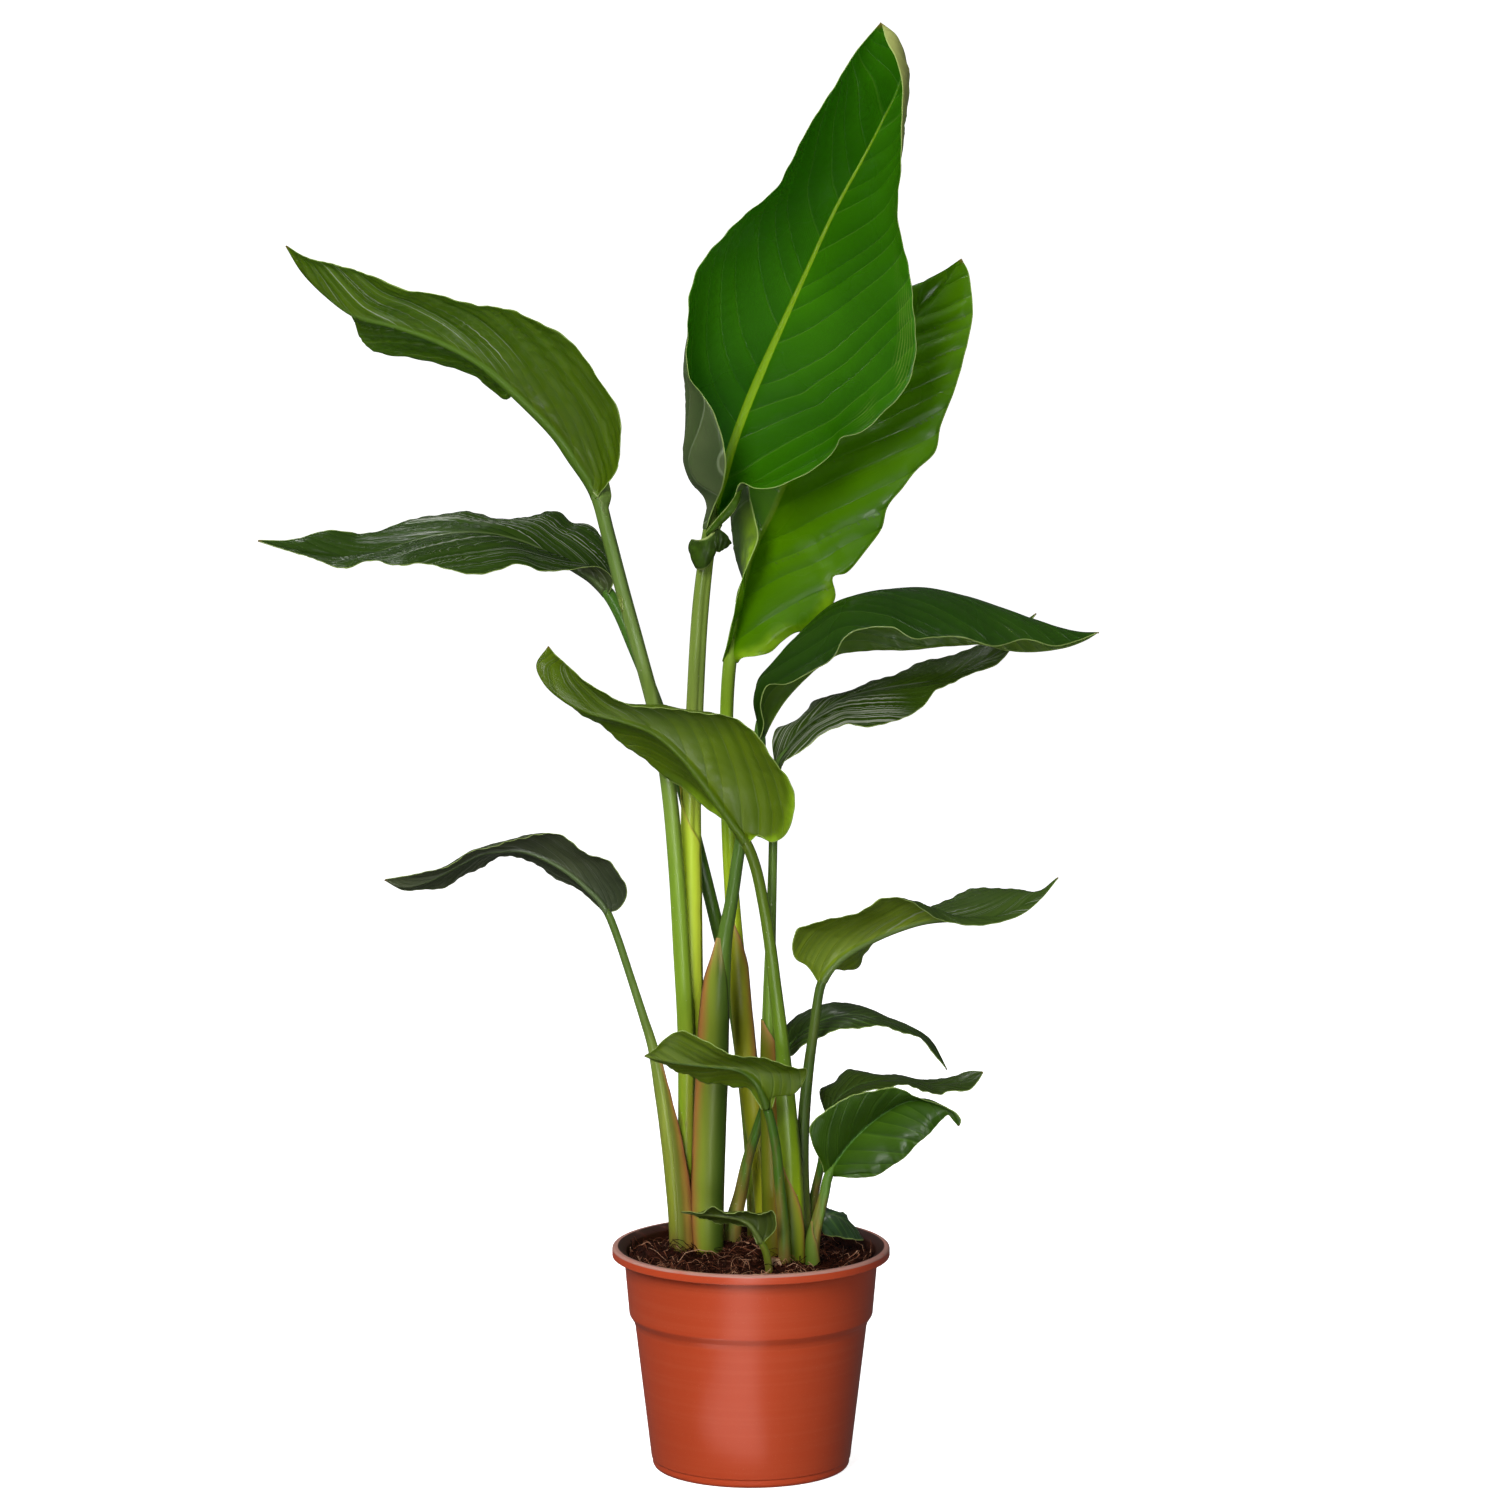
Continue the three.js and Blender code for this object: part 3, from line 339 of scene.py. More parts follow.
      [58, 513, -34], [68, 518, -35], [85, 518, -35], [97, 511.5, -34], [111, 512.5, -32],
      [125, 512.5, -30], [147, 507, -26], [165, 511, -19], [183, 507, -13], [198, 510.5, -6],
    ],
    "arch": 0.16,
  },
  "leaf_07": {
    "foot": [14, 8],
    "stalk": [
      [13, 150, 9, 5.8], [12, 200, 10, 5.8], [11, 250, 9, 5.3], [11, 290, 7, 4],
      [12, 330, 4, 3.2], [13, 370, 0, 2.8], [14, 410, -4, 2.7], [16, 434, -7, 2.7],
    ],
    "rib": [
      [21, 443, -6], [30, 455, -3], [43, 467, 2], [58, 476, 8], [78, 481, 15], [98, 484, 21],
      [118, 487, 27], [135, 495, 32], [150, 504, 34], [163, 516, 33], [172, 527, 31],
    ],
    "left": [
      [13, 449, 2], [16, 457, 8], [26, 461.5, 13], [34, 468, 18], [39, 473.5, 22], [53, 476.5, 27],
      [62, 480, 30], [78, 487, 36], [100, 495.5, 43], [120, 502, 47], [138, 507, 49],
      [152, 513, 46], [165, 522, 38],
    ],
    "right": [
      [20, 436.5, -14], [27, 441, -19], [34, 446, -21], [42, 452.5, -22], [52, 457, -21],
      [60, 460, -20], [70, 458, -18], [82, 459.5, -14], [97, 466, -6], [106, 472, 1],
      [112, 480, 8], [122, 485.5, 15], [137, 491, 23], [149, 496.5, 28], [156, 504, 30],
      [165, 517, 30],
    ],
    "arch": 0.08,
  },
  "leaf_08": {
    "foot": [-45, 21],
    "stalk": [
      [-45.5, 150, 21, 4.8], [-47.5, 180, 21, 5.2], [-50, 205, 20, 5.3], [-54.5, 235, 19, 4.7],
      [-60, 262, 17, 3.2], [-65.5, 280, 15, 2.7], [-74, 307, 12, 2.4], [-81.5, 330, 9, 2.4],
      [-87, 344, 7, 2.4],
    ],
    "rib": [
      [-92, 352, 6], [-99, 359, 5], [-110, 368.5, 4], [-125, 377.5, 3], [-140, 382.5, 2],
      [-155, 382, 1], [-164, 380.5, 0], [-173, 376, 0], [-186, 368.5, -1], [-200, 362, -1],
      [-212, 360, -2], [-222.5, 364.5, -2],
    ],
    "left": [
      [-81, 346, 4], [-76, 353, 0], [-75.5, 361, -4], [-81, 369, -9], [-87, 376, -13],
      [-100, 381.5, -17], [-108, 386, -19], [-114, 390.5, -19], [-121, 393.5, -19],
      [-130, 393, -19], [-138, 389, -19], [-150, 387, -18], [-167, 382.5, -16], [-180, 375, -14],
      [-200, 368.5, -9], [-213, 366.5, -5],
    ],
    "right": [
      [-93, 348, 14], [-101, 355.5, 19], [-111, 361.5, 23], [-121, 367, 25], [-131, 373.5, 26],
      [-141, 379, 26], [-152, 377.5, 24], [-162, 373.5, 22], [-170, 369, 20], [-179, 363.5, 16],
      [-188, 359.5, 13], [-200, 358, 8], [-212, 358.5, 3],
    ],
    "arch": 0.08,
  },
  "leaf_09": {
    "foot": [21, -24],
    "stalk": [
      [20, 145, -25, 3.8], [17.5, 175, -29, 3.3], [15.5, 198, -34, 3], [12.5, 214, -38, 2.9],
      [10, 223, -40, 2.7],
    ],
    "rib": [
      [7, 231.5, -42], [2.5, 240, -43], [-5, 246.5, -42], [-15, 249, -41], [-30, 250, -40],
      [-45, 251.5, -41], [-57, 254, -42], [-65, 256, -43],
    ],
    "left": [
      [16, 231.5, -38], [24, 231.5, -38], [30.5, 237, -42], [34, 247, -50], [28, 248.5, -54],
      [22, 251, -56], [0, 255, -58], [-19, 260, -58], [-30, 266, -56], [-41, 272, -54],
      [-51, 267.5, -50], [-59, 260, -46],
    ],
    "right": [
      [1, 232, -37], [-3, 236, -31], [-12, 237, -26], [-25, 239, -24], [-36, 242.5, -24],
      [-46, 247, -28], [-56, 251.5, -35],
    ],
    "arch": 0.03,
  },
  "leaf_10": {
    "foot": [-12, 36],
    "stalk": [
      [-11, 150, 35, 5.3], [-6.5, 170, 33, 4.2], [-2.5, 190, 30, 3.5], [3.5, 210, 26, 3.1],
      [9.5, 228, 23, 2.8], [15.5, 245, 20, 2.7], [21, 258, 18, 2.6],
    ],
    "rib": [
      [29, 268, 16], [40, 276, 14], [53, 280.5, 12], [68, 280.5, 10], [85, 276, 9],
      [100, 270.5, 9], [110, 263, 9], [119.5, 247.5, 9],
    ],
    "left": [
      [18, 266, 26], [22, 275.5, 31], [34, 283.5, 34], [46, 289, 35], [58, 287.5, 34],
      [69, 286, 32], [80, 279.5, 28], [100, 272.5, 19], [111, 263.5, 14],
    ],
    "right": [
      [25, 256, 8], [33, 263, 1], [44, 268.5, -5], [58, 272.5, -8], [74, 274, -8],
      [92, 271, -4], [104, 265.5, 1], [113, 255, 6],
    ],
    "arch": 0.1,
  },
  "leaf_11": {
    "foot": [36, 4],
    "stalk": [
      [33, 150, 3, 4.1], [31.5, 190, 1, 3.9], [32.5, 220, -4, 3.7], [35.3, 250, -11, 3.3],
      [38.3, 272, -15, 3], [40.3, 288, -17, 2.9], [43, 301, -19, 2.9],
    ],
    "rib": [
      [49, 310, -20], [58, 318.5, -20], [72, 326.5, -20], [88, 333.5, -19], [105, 338.5, -18],
      [121, 340, -16], [140, 340, -14], [155, 343, -12], [168, 350, -10], [180, 359, -8],
      [186.5, 366, -7],
    ],
    "left": [
      [50, 309, -8], [58, 308.5, 2], [65.5, 310.5, 9], [68, 318, 13], [80, 329, 17],
      [94, 339, 20], [107, 345.5, 21], [116, 351.5, 20], [130, 357, 17], [146, 360, 12],
      [160, 358.5, 6], [174, 357.5, -1],
    ],
    "right": [
      [34, 311.5, -24], [27.5, 315.5, -28], [25, 323, -32], [28, 334.5, -37], [38, 337, -41],
      [58, 343, -45], [70, 347, -46], [80, 352, -45], [93, 353, -42], [100, 350.5, -39],
      [107, 344, -35], [114, 339.5, -31], [126, 337.5, -28], [140, 336.5, -26], [152, 338, -23],
      [166, 344, -17], [178, 354.5, -11],
    ],
    "arch": 0.08,
  },
  "leaf_12": {
    "foot": [39, -13],
    "stalk": [
      [38, 142, -15, 4.3], [41, 155, -17, 3.7], [44.5, 169, -19, 3.2], [47.5, 182, -21, 2.9],
    ],
    "rib": [
      [55, 195, -22], [65, 207, -23], [79, 219, -25], [93, 227, -28], [106, 229, -31],
      [116, 225.5, -33], [122.5, 220.5, -34], [127, 212.5, -35],
    ],
    "left": [
      [43.5, 188, -24], [37, 203, -33], [36, 212, -37], [46, 223, -41], [57, 229, -43],
      [72, 234.5, -44], [87, 236, -43], [100, 231.5, -40], [110, 228, -39], [119, 224, -38],
      [125, 221, -37], [128.5, 216, -36],
    ],
    "right": [
      [54, 181, -24], [66, 180, -27], [77, 182, -29], [87, 188, -31], [95, 194, -33],
      [102, 201.5, -34], [110, 209, -34], [116.5, 216, -34], [120.5, 219.5, -33], [124, 215.5, -33],
    ],
    "arch": 0.08,
  },
  "leaf_13": {
    "foot": [33, 15],
    "stalk": [
      [34, 145, 14, 3.3], [37, 162, 11, 2.9], [40, 176, 8, 2.6], [43, 190, 4, 2.4],
      [45, 206, 0, 2.3], [47, 219, -2, 2.3],
    ],
    "rib": [
      [52, 228, -2], [62, 236, -1], [75, 240, 0], [92, 240.5, 2], [108, 238, 4], [122, 239, 6],
      [134, 242, 8], [141.5, 246, 9],
    ],
    "left": [
      [43.5, 226, 6], [42.5, 235, 12], [50, 240, 15], [57, 246, 16], [65, 246.5, 17],
      [76, 244, 18], [92, 243, 19], [104, 241, 19], [114, 241, 18], [124, 244, 16],
      [133, 246.5, 13],
    ],
    "right": [
      [54, 224, -8], [61, 228.5, -13], [72, 234, -16], [86, 237, -16], [99, 236.5, -14],
      [108, 234, -12], [115, 231, -10], [122, 234.5, -6], [133, 234.5, -2], [138.5, 240, 4],
    ],
    "arch": 0.08,
  },
  "leaf_14": {
    "foot": [37, 27],
    "stalk": [
      [37, 140, 27, 2.6], [37.5, 150, 26, 2.4],
    ],
    "rib": [
      [41, 155.5, 25], [46, 157.5, 24], [52, 156.5, 23], [58, 152.5, 22], [64, 146.5, 21],
      [69, 141.5, 20],
    ],
    "left": [
      [37, 159, 31], [44, 160.5, 33], [50, 160.5, 33], [56, 158, 31], [61, 153, 28],
      [66, 146, 24],
    ],
    "right": [
      [43, 148, 19], [46, 144.5, 15], [52, 143.5, 12], [58, 142.5, 12], [64, 141.5, 15],
    ],
    "arch": 0.1,
  },
  "leaf_15": {
    "foot": [13, -34],
    "stalk": [
      [9.5, 133, -37, 2.3], [6.3, 139.5, -38.5, 2],
    ],
    "rib": [
      [3, 145.5, -39.5], [-1, 151, -40], [-7, 154.5, -40], [-14, 156, -39], [-24, 157, -38],
      [-34, 157.5, -38], [-43, 159, -38],
    ],
    "left": [
      [10.5, 143, -37], [15, 148, -38], [15.5, 154, -41], [13, 159, -44], [6, 158.5, -47],
      [-8, 158.5, -48], [-18, 159.5, -46], [-24, 161.5, -45], [-30, 158.5, -42], [-37, 159, -40],
    ],
    "right": [
      [0, 147, -37], [-5, 150.5, -33], [-15, 151.5, -29], [-26, 153.5, -29], [-35, 157, -34],
    ],
    "arch": 0.1,
  },
}

# Sheaths round the stalks' feet: the leaf, how much it reddens, its colours by the fixed and the free edge
# (partly painted shade), then rows of height, angle of the fixed and of the free edge, lift, and how far the
# free edge stands out
SHEATHS = {
  "sheath_01": ("leaf_01", 0.15, (206, 236, 52), (214, 238, 66), [
      (128, -100, 58, 1.0, 0), (250, -100, 60, 0.8, 0), (380, -100, 58, 0.6, 0),
      (392, -100, 0, 0.6, 0), (404, -100, -45, 0.8, 0), (417, -100, -92, 1.6, 0)]),
  "sheath_02": ("leaf_02", 0.75, (150, 156, 30), (174, 174, 44), [
      (128, -80, 60, 0.4, 0), (226, -90, 64, 0.6, 0), (245, -95, 58, 0.5, 0), (272, -95, 88, 0.4, 0),
      (302, -80, 84, 1.4, 0), (322, -60, 30, 0.8, 0), (334, -40, -12, 0.5, 0)]),
  "sheath_06": ("leaf_06", 0.9, (74, 98, 30), (136, 152, 48), [
      (128, 80, -70, 0.3, 0), (161, 80, -80, 0.4, 1.6), (200, 80, -84, 0.4, 2), (235, 78, -84, 0.4, 2.6),
      (276, 70, -84, 0.5, 3.4), (300, 40, -80, 0.6, 3), (316, 0, -70, 0.6, 1), (326, -30, -60, 0.6, 0.3)]),
  "sheath_07": ("leaf_07", 0.6, (104, 116, 20), (120, 112, 30), [
      (128, -90, 60, 0.6, 0), (240, -90, 50, 0.8, 0), (262, -96, 40, 1.4, 0), (276, -92, -30, 2.0, 0)]),
  "sheath_08": ("leaf_08", 1.0, (126, 134, 50), (176, 142, 64), [
      (128, 10, 104, 1.6, 5.5), (160, 10, 102, 1.8, 4.6), (190, 14, 92, 1.2, 2), (222, 20, 72, 0.5, 0.4),
      (250, 30, 52, 0.3, 0)]),
  "sheath_05": ("leaf_05", 0.5, (96, 120, 12), (146, 154, 40), [
      (128, -20, 78, 0.3, 0), (150, -30, 64, 0.4, 0), (172, -60, 22, 0.4, 0), (192, -70, -40, 0.5, 0)]),
  "sheath_12": ("leaf_12", 0.2, (88, 116, 38), (110, 132, 52), [
      (126, -95, 70, 0.7, 0), (142, -90, 30, 0.9, 0), (156, -80, -40, 0.9, 0)]),
}
SHEATH_ROWS = 90
SHEATH_COLUMNS = 13
SHEATH_THICKNESS = 0.35
SHEATH_GAP = 0.25
SHEATH_RAGGEDNESS = 7
FLARE_START = 0.55

# Small crinkled bits at the blades' bases, and a papery scrap on the soil: the slot, the middle's and the
# margin's colour, how far it bulges and crinkles, the crinkle's seed, and two edges as they are seen
SCRAP_ROWS = 40
SCRAP_COLUMNS = 9
SCRAP_THICKNESS = 0.35
SCRAPS = {
  "leaf_01_fold": (
    "leaf_blade", (60, 92, 12), (170, 188, 112), 1.2, 0.2, 2,
    [(-6, 604.9, 18), (-10.2, 597.5, 10), (-14.4, 591.5, 8), (-21, 584, 10), (-27, 576, 14)],
    [(-6, 602, 18), (-6.8, 595, 10), (-10.4, 588, 8), (-17.4, 581, 10), (-26.4, 573.5, 14)],
  ),
  "leaf_01_pocket": (
    "leaf_blade", (52, 78, 14), (150, 168, 96), 2.4, 0.35, 2,
    [(-35.6, 572, 20), (-31.2, 571.6, 14), (-27, 573, 12), (-23.4, 575.5, 12), (-19, 578, 14)],
    [(-36.2, 563, 22), (-34.8, 557, 18), (-32, 553.5, 16), (-28, 553.5, 15), (-22.4, 561, 16)],
  ),
  "leaf_01_crinkle": (
    "leaf_blade", (44, 66, 14), (128, 146, 80), 1.6, 0.5, 2,
    [(-26, 573, 13), (-21, 579, 13), (-17.4, 577, 14), (-14, 574, 16), (-13, 570.5, 20)],
    [(-24, 563, 15), (-21.5, 564.5, 14), (-19.5, 564, 15), (-16.5, 565.5, 17), (-13, 568.5, 20)],
  ),
  "leaf_03_wing": (
    "leaf_blade", (104, 132, 56), (176, 190, 128), 0.8, 0.15, 2,
    [(-85.6, 607.5, 6), (-84, 598, 5), (-85.6, 590.5, 5), (-84.6, 583, 6)],
    [(-95.5, 600.5, 3), (-91, 595.5, 2), (-89, 589, 3), (-87, 583, 5)],
  ),
  "leaf_04_curl": (
    "leaf_blade", (120, 140, 60), (206, 214, 150), 0.8, 0.5, 2,
    [(-80.6, 540, 9), (-79.6, 536, 7.4), (-79.6, 532, 7.4), (-77.6, 528, 9)],
    [(-78.6, 540, 6.6), (-77.2, 536, 6), (-77.4, 532, 6), (-76, 528, 7)],
  ),
  "papery_scrap": (
    "leaf_stalk", (196, 160, 128), (150, 104, 66), 2.0, 0.5, 5,
    [(9, 128, -20), (13, 131, -24), (18, 130, -26)],
    [(10, 119, -22), (15, 117, -27), (21, 121, -27)],
  ),
}

# Each leaf's finish, in screen colours of 0 to 255: the upper face, the lower face, the light that shines
# through, the rib, the stalk from the soil up, and the painted light on the tip's lower face. The numbers
# under the keys for painted shade and painted sheen along the pleats, and under glow (painted light
# shining through by the margin) and streaks (painted sheen by the right margin), go to the functions of
# those names. PLAIN_LOOK has what a leaf doesn't give itself: how clear the side veins are on the upper
# face and on the lower one, how far they lean towards the tip, how high the pleats between them stand, and
# the roughness.
PLAIN_LOOK = {"veins": 0.22, "under": 0.45, "lean": 0.85, "pleat": 1, "rough": 0.38}
LOOKS = {
  "leaf_01": {
    "upper": (52, 112, 4), "lower": (84, 98, 66), "through": (110, 190, 4), "rib": (128, 164, 22),
    "stalk": [(118, 106, 34), (150, 178, 40), (206, 230, 60), (132, 152, 68), (108, 132, 50)],
    "veins": 0.2, "under": 0.45, "lean": 1.05, "streaks": (0.3, 0.72, 19), "tip": (176, 182, 104),
    "painted_shade": (0.55, 0.1, 0.6, "left"),
  },
  "leaf_02": {
    "upper": (78, 124, 0), "lower": (66, 84, 48), "through": (150, 205, 4), "rib": (104, 132, 24),
    "stalk": [(110, 104, 30), (150, 156, 30), (200, 216, 36), (136, 172, 38), (116, 148, 46)],
    "veins": 0.05, "pleat": 1.9, "glow": 12, "painted_shade": (0.5, 0.8, 0.25, "both"),
  },
  "leaf_03": {
    "upper": (92, 122, 12), "lower": (76, 100, 4), "through": (150, 200, 8), "rib": (84, 112, 34),
    "stalk": [(112, 104, 40), (136, 166, 36), (136, 170, 52), (118, 142, 68), (96, 124, 54)],
    "veins": 0.05, "under": 0.05, "lean": 3.2, "pleat": 2.4, "painted_crease_sheen": (0.85, 0.02, 32, 0.35, 0.95),
  },
  "leaf_04": {
    "upper": (50, 76, 22), "lower": (90, 104, 64), "through": (80, 120, 10), "rib": (84, 104, 52),
    "stalk": [(142, 162, 57), (109, 135, 38), (61, 90, 23), (78, 114, 38), (73, 114, 38)],
    "veins": 0.1, "under": 0.1, "lean": 3.2, "pleat": 2, "rough": 0.34, "painted_shade": (0.55, 0.2, 0.45, "both"),
    "painted_crease_sheen": (0.7, 0.025, 60, 0.0, 0.66),
  },
  "leaf_05": {
    "upper": (92, 114, 26), "lower": (90, 114, 8), "through": (140, 180, 4), "rib": (82, 106, 18),
    "stalk": [(118, 134, 20), (146, 174, 14), (104, 136, 36), (98, 126, 34), (86, 106, 18)],
    "veins": 0.05, "under": 0.06, "lean": 1.8, "glow": 8, "painted_crease_sheen": (0.5, 0.03, 30, 0.5, 1.0),
  },
  "leaf_06": {
    "upper": (42, 74, 14), "lower": (112, 142, 48), "through": (110, 168, 20), "rib": (58, 86, 40),
    "stalk": [(120, 106, 40), (110, 124, 36), (96, 126, 40), (86, 118, 46), (72, 106, 40)],
    "veins": 0.1, "under": 0.2, "lean": 1.8, "painted_shade": (0.4, 0.08, 0.6, "both"),
  },
  "leaf_07": {
    "upper": (62, 88, 20), "lower": (54, 78, 26), "through": (60, 100, 14), "rib": (98, 110, 84),
    "stalk": [(112, 112, 30), (130, 136, 40), (112, 144, 50), (104, 136, 56), (90, 122, 54)],
    "veins": 0.05, "under": 0.05, "lean": 3.2, "pleat": 1.6, "painted_shade": (0.6, 0.2, 0.5, "both"),
    "painted_crease_sheen": (0.8, 0.08, 70, -0.2, 0.5),
  },
  "leaf_08": {
    "upper": (76, 86, 60), "lower": (76, 86, 60), "through": (80, 110, 20), "rib": (96, 116, 70),
    "stalk": [(92, 92, 36), (134, 144, 44), (142, 158, 64), (106, 132, 58), (90, 118, 48)],
    "veins": 0.05, "under": 0.05, "lean": 2.6, "painted_crease_sheen": (0.35, 0.02, 40, 0.1, 0.9),
  },
  "leaf_09": {
    "upper": (104, 128, 16), "lower": (98, 122, 16), "through": (120, 164, 6), "rib": (70, 96, 20),
    "stalk": [(106, 139, 38), (59, 104, 25), (66, 104, 28), (71, 107, 28), (61, 97, 23)],
    "veins": 0.08, "under": 0.08, "lean": 1.5, "painted_crease_sheen": (0.3, 0.0, 24, 0.2, 0.6),
  },
  "leaf_10": {
    "upper": (52, 72, 30), "lower": (52, 72, 30), "through": (80, 120, 10), "rib": (70, 96, 40),
    "stalk": [(153, 162, 76), (123, 151, 57), (83, 123, 44), (66, 102, 32), (59, 93, 28)],
    "veins": 0.3, "lean": 1.5,
  },
  "leaf_11": {
    "upper": (60, 80, 34), "lower": (116, 140, 30), "through": (130, 170, 14), "rib": (104, 126, 60),
    "stalk": [(100, 116, 40), (104, 124, 40), (84, 108, 44), (74, 98, 40), (76, 100, 38)],
    "veins": 0.08, "under": 0.08, "lean": 3.0, "rough": 0.34, "painted_crease_sheen": (0.6, 0.04, 14, 0.2, 1.1),
  },
  "leaf_12": {
    "upper": (62, 98, 16), "lower": (58, 86, 26), "through": (80, 140, 6), "rib": (84, 130, 50),
    "stalk": [(84, 106, 36), (104, 132, 50), (100, 138, 50), (96, 132, 46), (90, 128, 42)],
    "veins": 0.2, "rough": 0.4,
  },
  "leaf_13": {
    "upper": (60, 80, 30), "lower": (78, 96, 42), "through": (90, 120, 20), "rib": (70, 96, 40),
    "stalk": [(118, 151, 57), (99, 135, 48), (71, 107, 34), (61, 97, 30), (59, 93, 28)],
    "veins": 0.1, "under": 0.1, "lean": 1.6,
  },
  "leaf_14": {
    "upper": (50, 78, 50), "lower": (56, 84, 54), "through": (90, 120, 40), "rib": (80, 104, 60),
    "stalk": [(106, 128, 57), (99, 123, 53), (90, 116, 48), (83, 111, 46), (78, 107, 42)],
  },
  "leaf_15": {
    "upper": (96, 106, 34), "lower": (84, 100, 36), "through": (130, 150, 30), "rib": (96, 112, 50),
    "stalk": [(130, 139, 57), (116, 135, 44), (101, 125, 34), (94, 121, 30), (92, 116, 28)],
    "veins": 0.05, "under": 0.05,
  },
}


# Colour and nodes

# The colour sockets of a mix node, by their numbers: the two that go in and the one that comes out
FIRST_COLOUR = 6
SECOND_COLOUR = 7
MIXED_COLOUR = 2


def screen(colour):
    """A screen colour of 0 to 255 as Blender's linear colour"""
    linear = [c / 255 / 12.92 if c < 10 else ((c / 255 + 0.055) / 1.055) ** 2.4 for c in colour]
    return (*linear, 1)


class Signal:
    """A number that changes over a surface: a node's output, to be used in sums and products"""

    def __init__(self, material, socket):
        self.material = material
        self.socket = socket

    def __mul__(self, other):
        return self.material.math("MULTIPLY", self, other)

    def __add__(self, other):
        return self.material.math("ADD", self, other)

    def __rsub__(self, other):
        return self.material.math("SUBTRACT", other, self)

    def between(self, low, high):
        """0 where it is at low and 1 where it is at high"""
        inputs = {"Value": self, "From Min": low, "From Max": high}
        node = self.material.add("ShaderNodeMapRange", inputs, interpolation_type="SMOOTHSTEP")
        return Signal(self.material, node.outputs["Result"])

    def within(self, low, high, soft):
        """1 between low and high, with soft ends inside them, and 0 outside"""
        return self.between(low, low + soft) * self.between(high, high - soft)


class Material:
    """A node material whose tone is built up in layers, with short calls for its few kinds of node"""

    def __init__(self, name, roughness, specular=0.5, coat=0, coat_roughness=0):
        self.data = bpy.data.materials.new(name)
        self.data.use_nodes = True
        self.nodes = self.data.node_tree.nodes
        self.shader = self.nodes["Principled BSDF"]
        self.tone = None
        self.set("Roughness", roughness)
        self.set("Specular IOR Level", specular)
        if coat:
            self.set("Coat Weight", coat)
            self.set("Coat Roughness", coat_roughness)

    def feed(self, socket, value):
        """Links an output to a socket, or sets the socket's own value"""
        if isinstance(value, Signal):
            value = value.socket
        if isinstance(value, bpy.types.NodeSocket):
            self.data.node_tree.links.new(value, socket)
        else:
            socket.default_value = value

    def set(self, name, value):
        self.feed(self.shader.inputs[name], value)

    def add(self, kind, inputs=None, **settings):
        node = self.nodes.new(kind)
        for key, value in settings.items():
            setattr(node, key, value)
        for key, value in (inputs or {}).items():
            self.feed(node.inputs[key], value)
        return node

    def attribute(self, name):
        """A value that the mesh holds at its points"""
        return Signal(self, self.add("ShaderNodeAttribute", attribute_name=name).outputs["Fac"])

    def math(self, operation, *values):
        node = self.add("ShaderNodeMath", dict(enumerate(values)), operation=operation)
        return Signal(self, node.outputs[0])

    def noise(self, scale, detail=3, stretch=(1, 1, 1), roughness=0.5, place=None):
        place = place or self.add("ShaderNodeTexCoord").outputs["Object"]
        mapping = self.add("ShaderNodeMapping", {"Vector": place, "Scale": stretch})
        inputs = {"Vector": mapping.outputs[0], "Scale": scale, "Detail": detail, "Roughness": roughness}
        return Signal(self, self.add("ShaderNodeTexNoise", inputs).outputs["Fac"])

    def mix(self, share, first, second, blend="MIX"):
        """Two colours mixed, each an output, a screen colour of three numbers or a linear one of four"""
        first, second = (screen(c) if isinstance(c, tuple) and len(c) == 3 else c for c in (first, second))
        inputs = {"Factor": share, FIRST_COLOUR: first, SECOND_COLOUR: second}
        return self.add("ShaderNodeMix", inputs, data_type="RGBA", blend_type=blend).outputs[MIXED_COLOUR]

    def ramp(self, value, colours):
        """Screen colours that follow each other evenly as the value goes from 0 to 1"""
        node = self.add("ShaderNodeValToRGB", {"Fac": value})
        elements = node.color_ramp.elements
        while len(elements) < len(colours):
            elements.new(0.5)
        for i, colour in enumerate(colours):
            elements[i].position = i / (len(colours) - 1)
            elements[i].color = screen(colour)
        return node.outputs["Color"]

    def paint(self, share, colour):
        """Covers a share of the tone with a colour"""
        self.tone = self.mix(share, self.tone, colour)

    def tint(self, share, factors):
        """Multiplies a share of the tone by a factor each for red, green and blue"""
        self.tone = self.mix(share, self.tone, (*factors, 1), "MULTIPLY")

    def bump(self, height, distance, strength):
        node = self.add("ShaderNodeBump", {"Height": height, "Distance": distance, "Strength": strength})
        self.set("Normal", node.outputs[0])

    def let_light_through(self, colour, share):
        """Mixes in light that passes through from the other face"""
        through = self.add("ShaderNodeBsdfTranslucent", {"Color": screen(colour)})
        inputs = {"Fac": share, 1: self.shader.outputs[0], 2: through.outputs[0]}
        mixed = self.add("ShaderNodeMixShader", inputs)
        self.feed(self.nodes["Material Output"].inputs["Surface"], mixed.outputs[0])

    def done(self):
        """The material itself, with its tone in place"""
        self.set("Base Color", self.tone)
        return self.data


# Curves and skins

def seen(point):
    """A point given as it is seen on the upright plane through the pot's axis, pushed back by its depth"""
    x, z, back = point[:3]
    scale = 1 + back / EYE_DISTANCE
    return (x * scale, back, EYE_HEIGHT + (z - SEEN_BASE - EYE_HEIGHT) * scale)


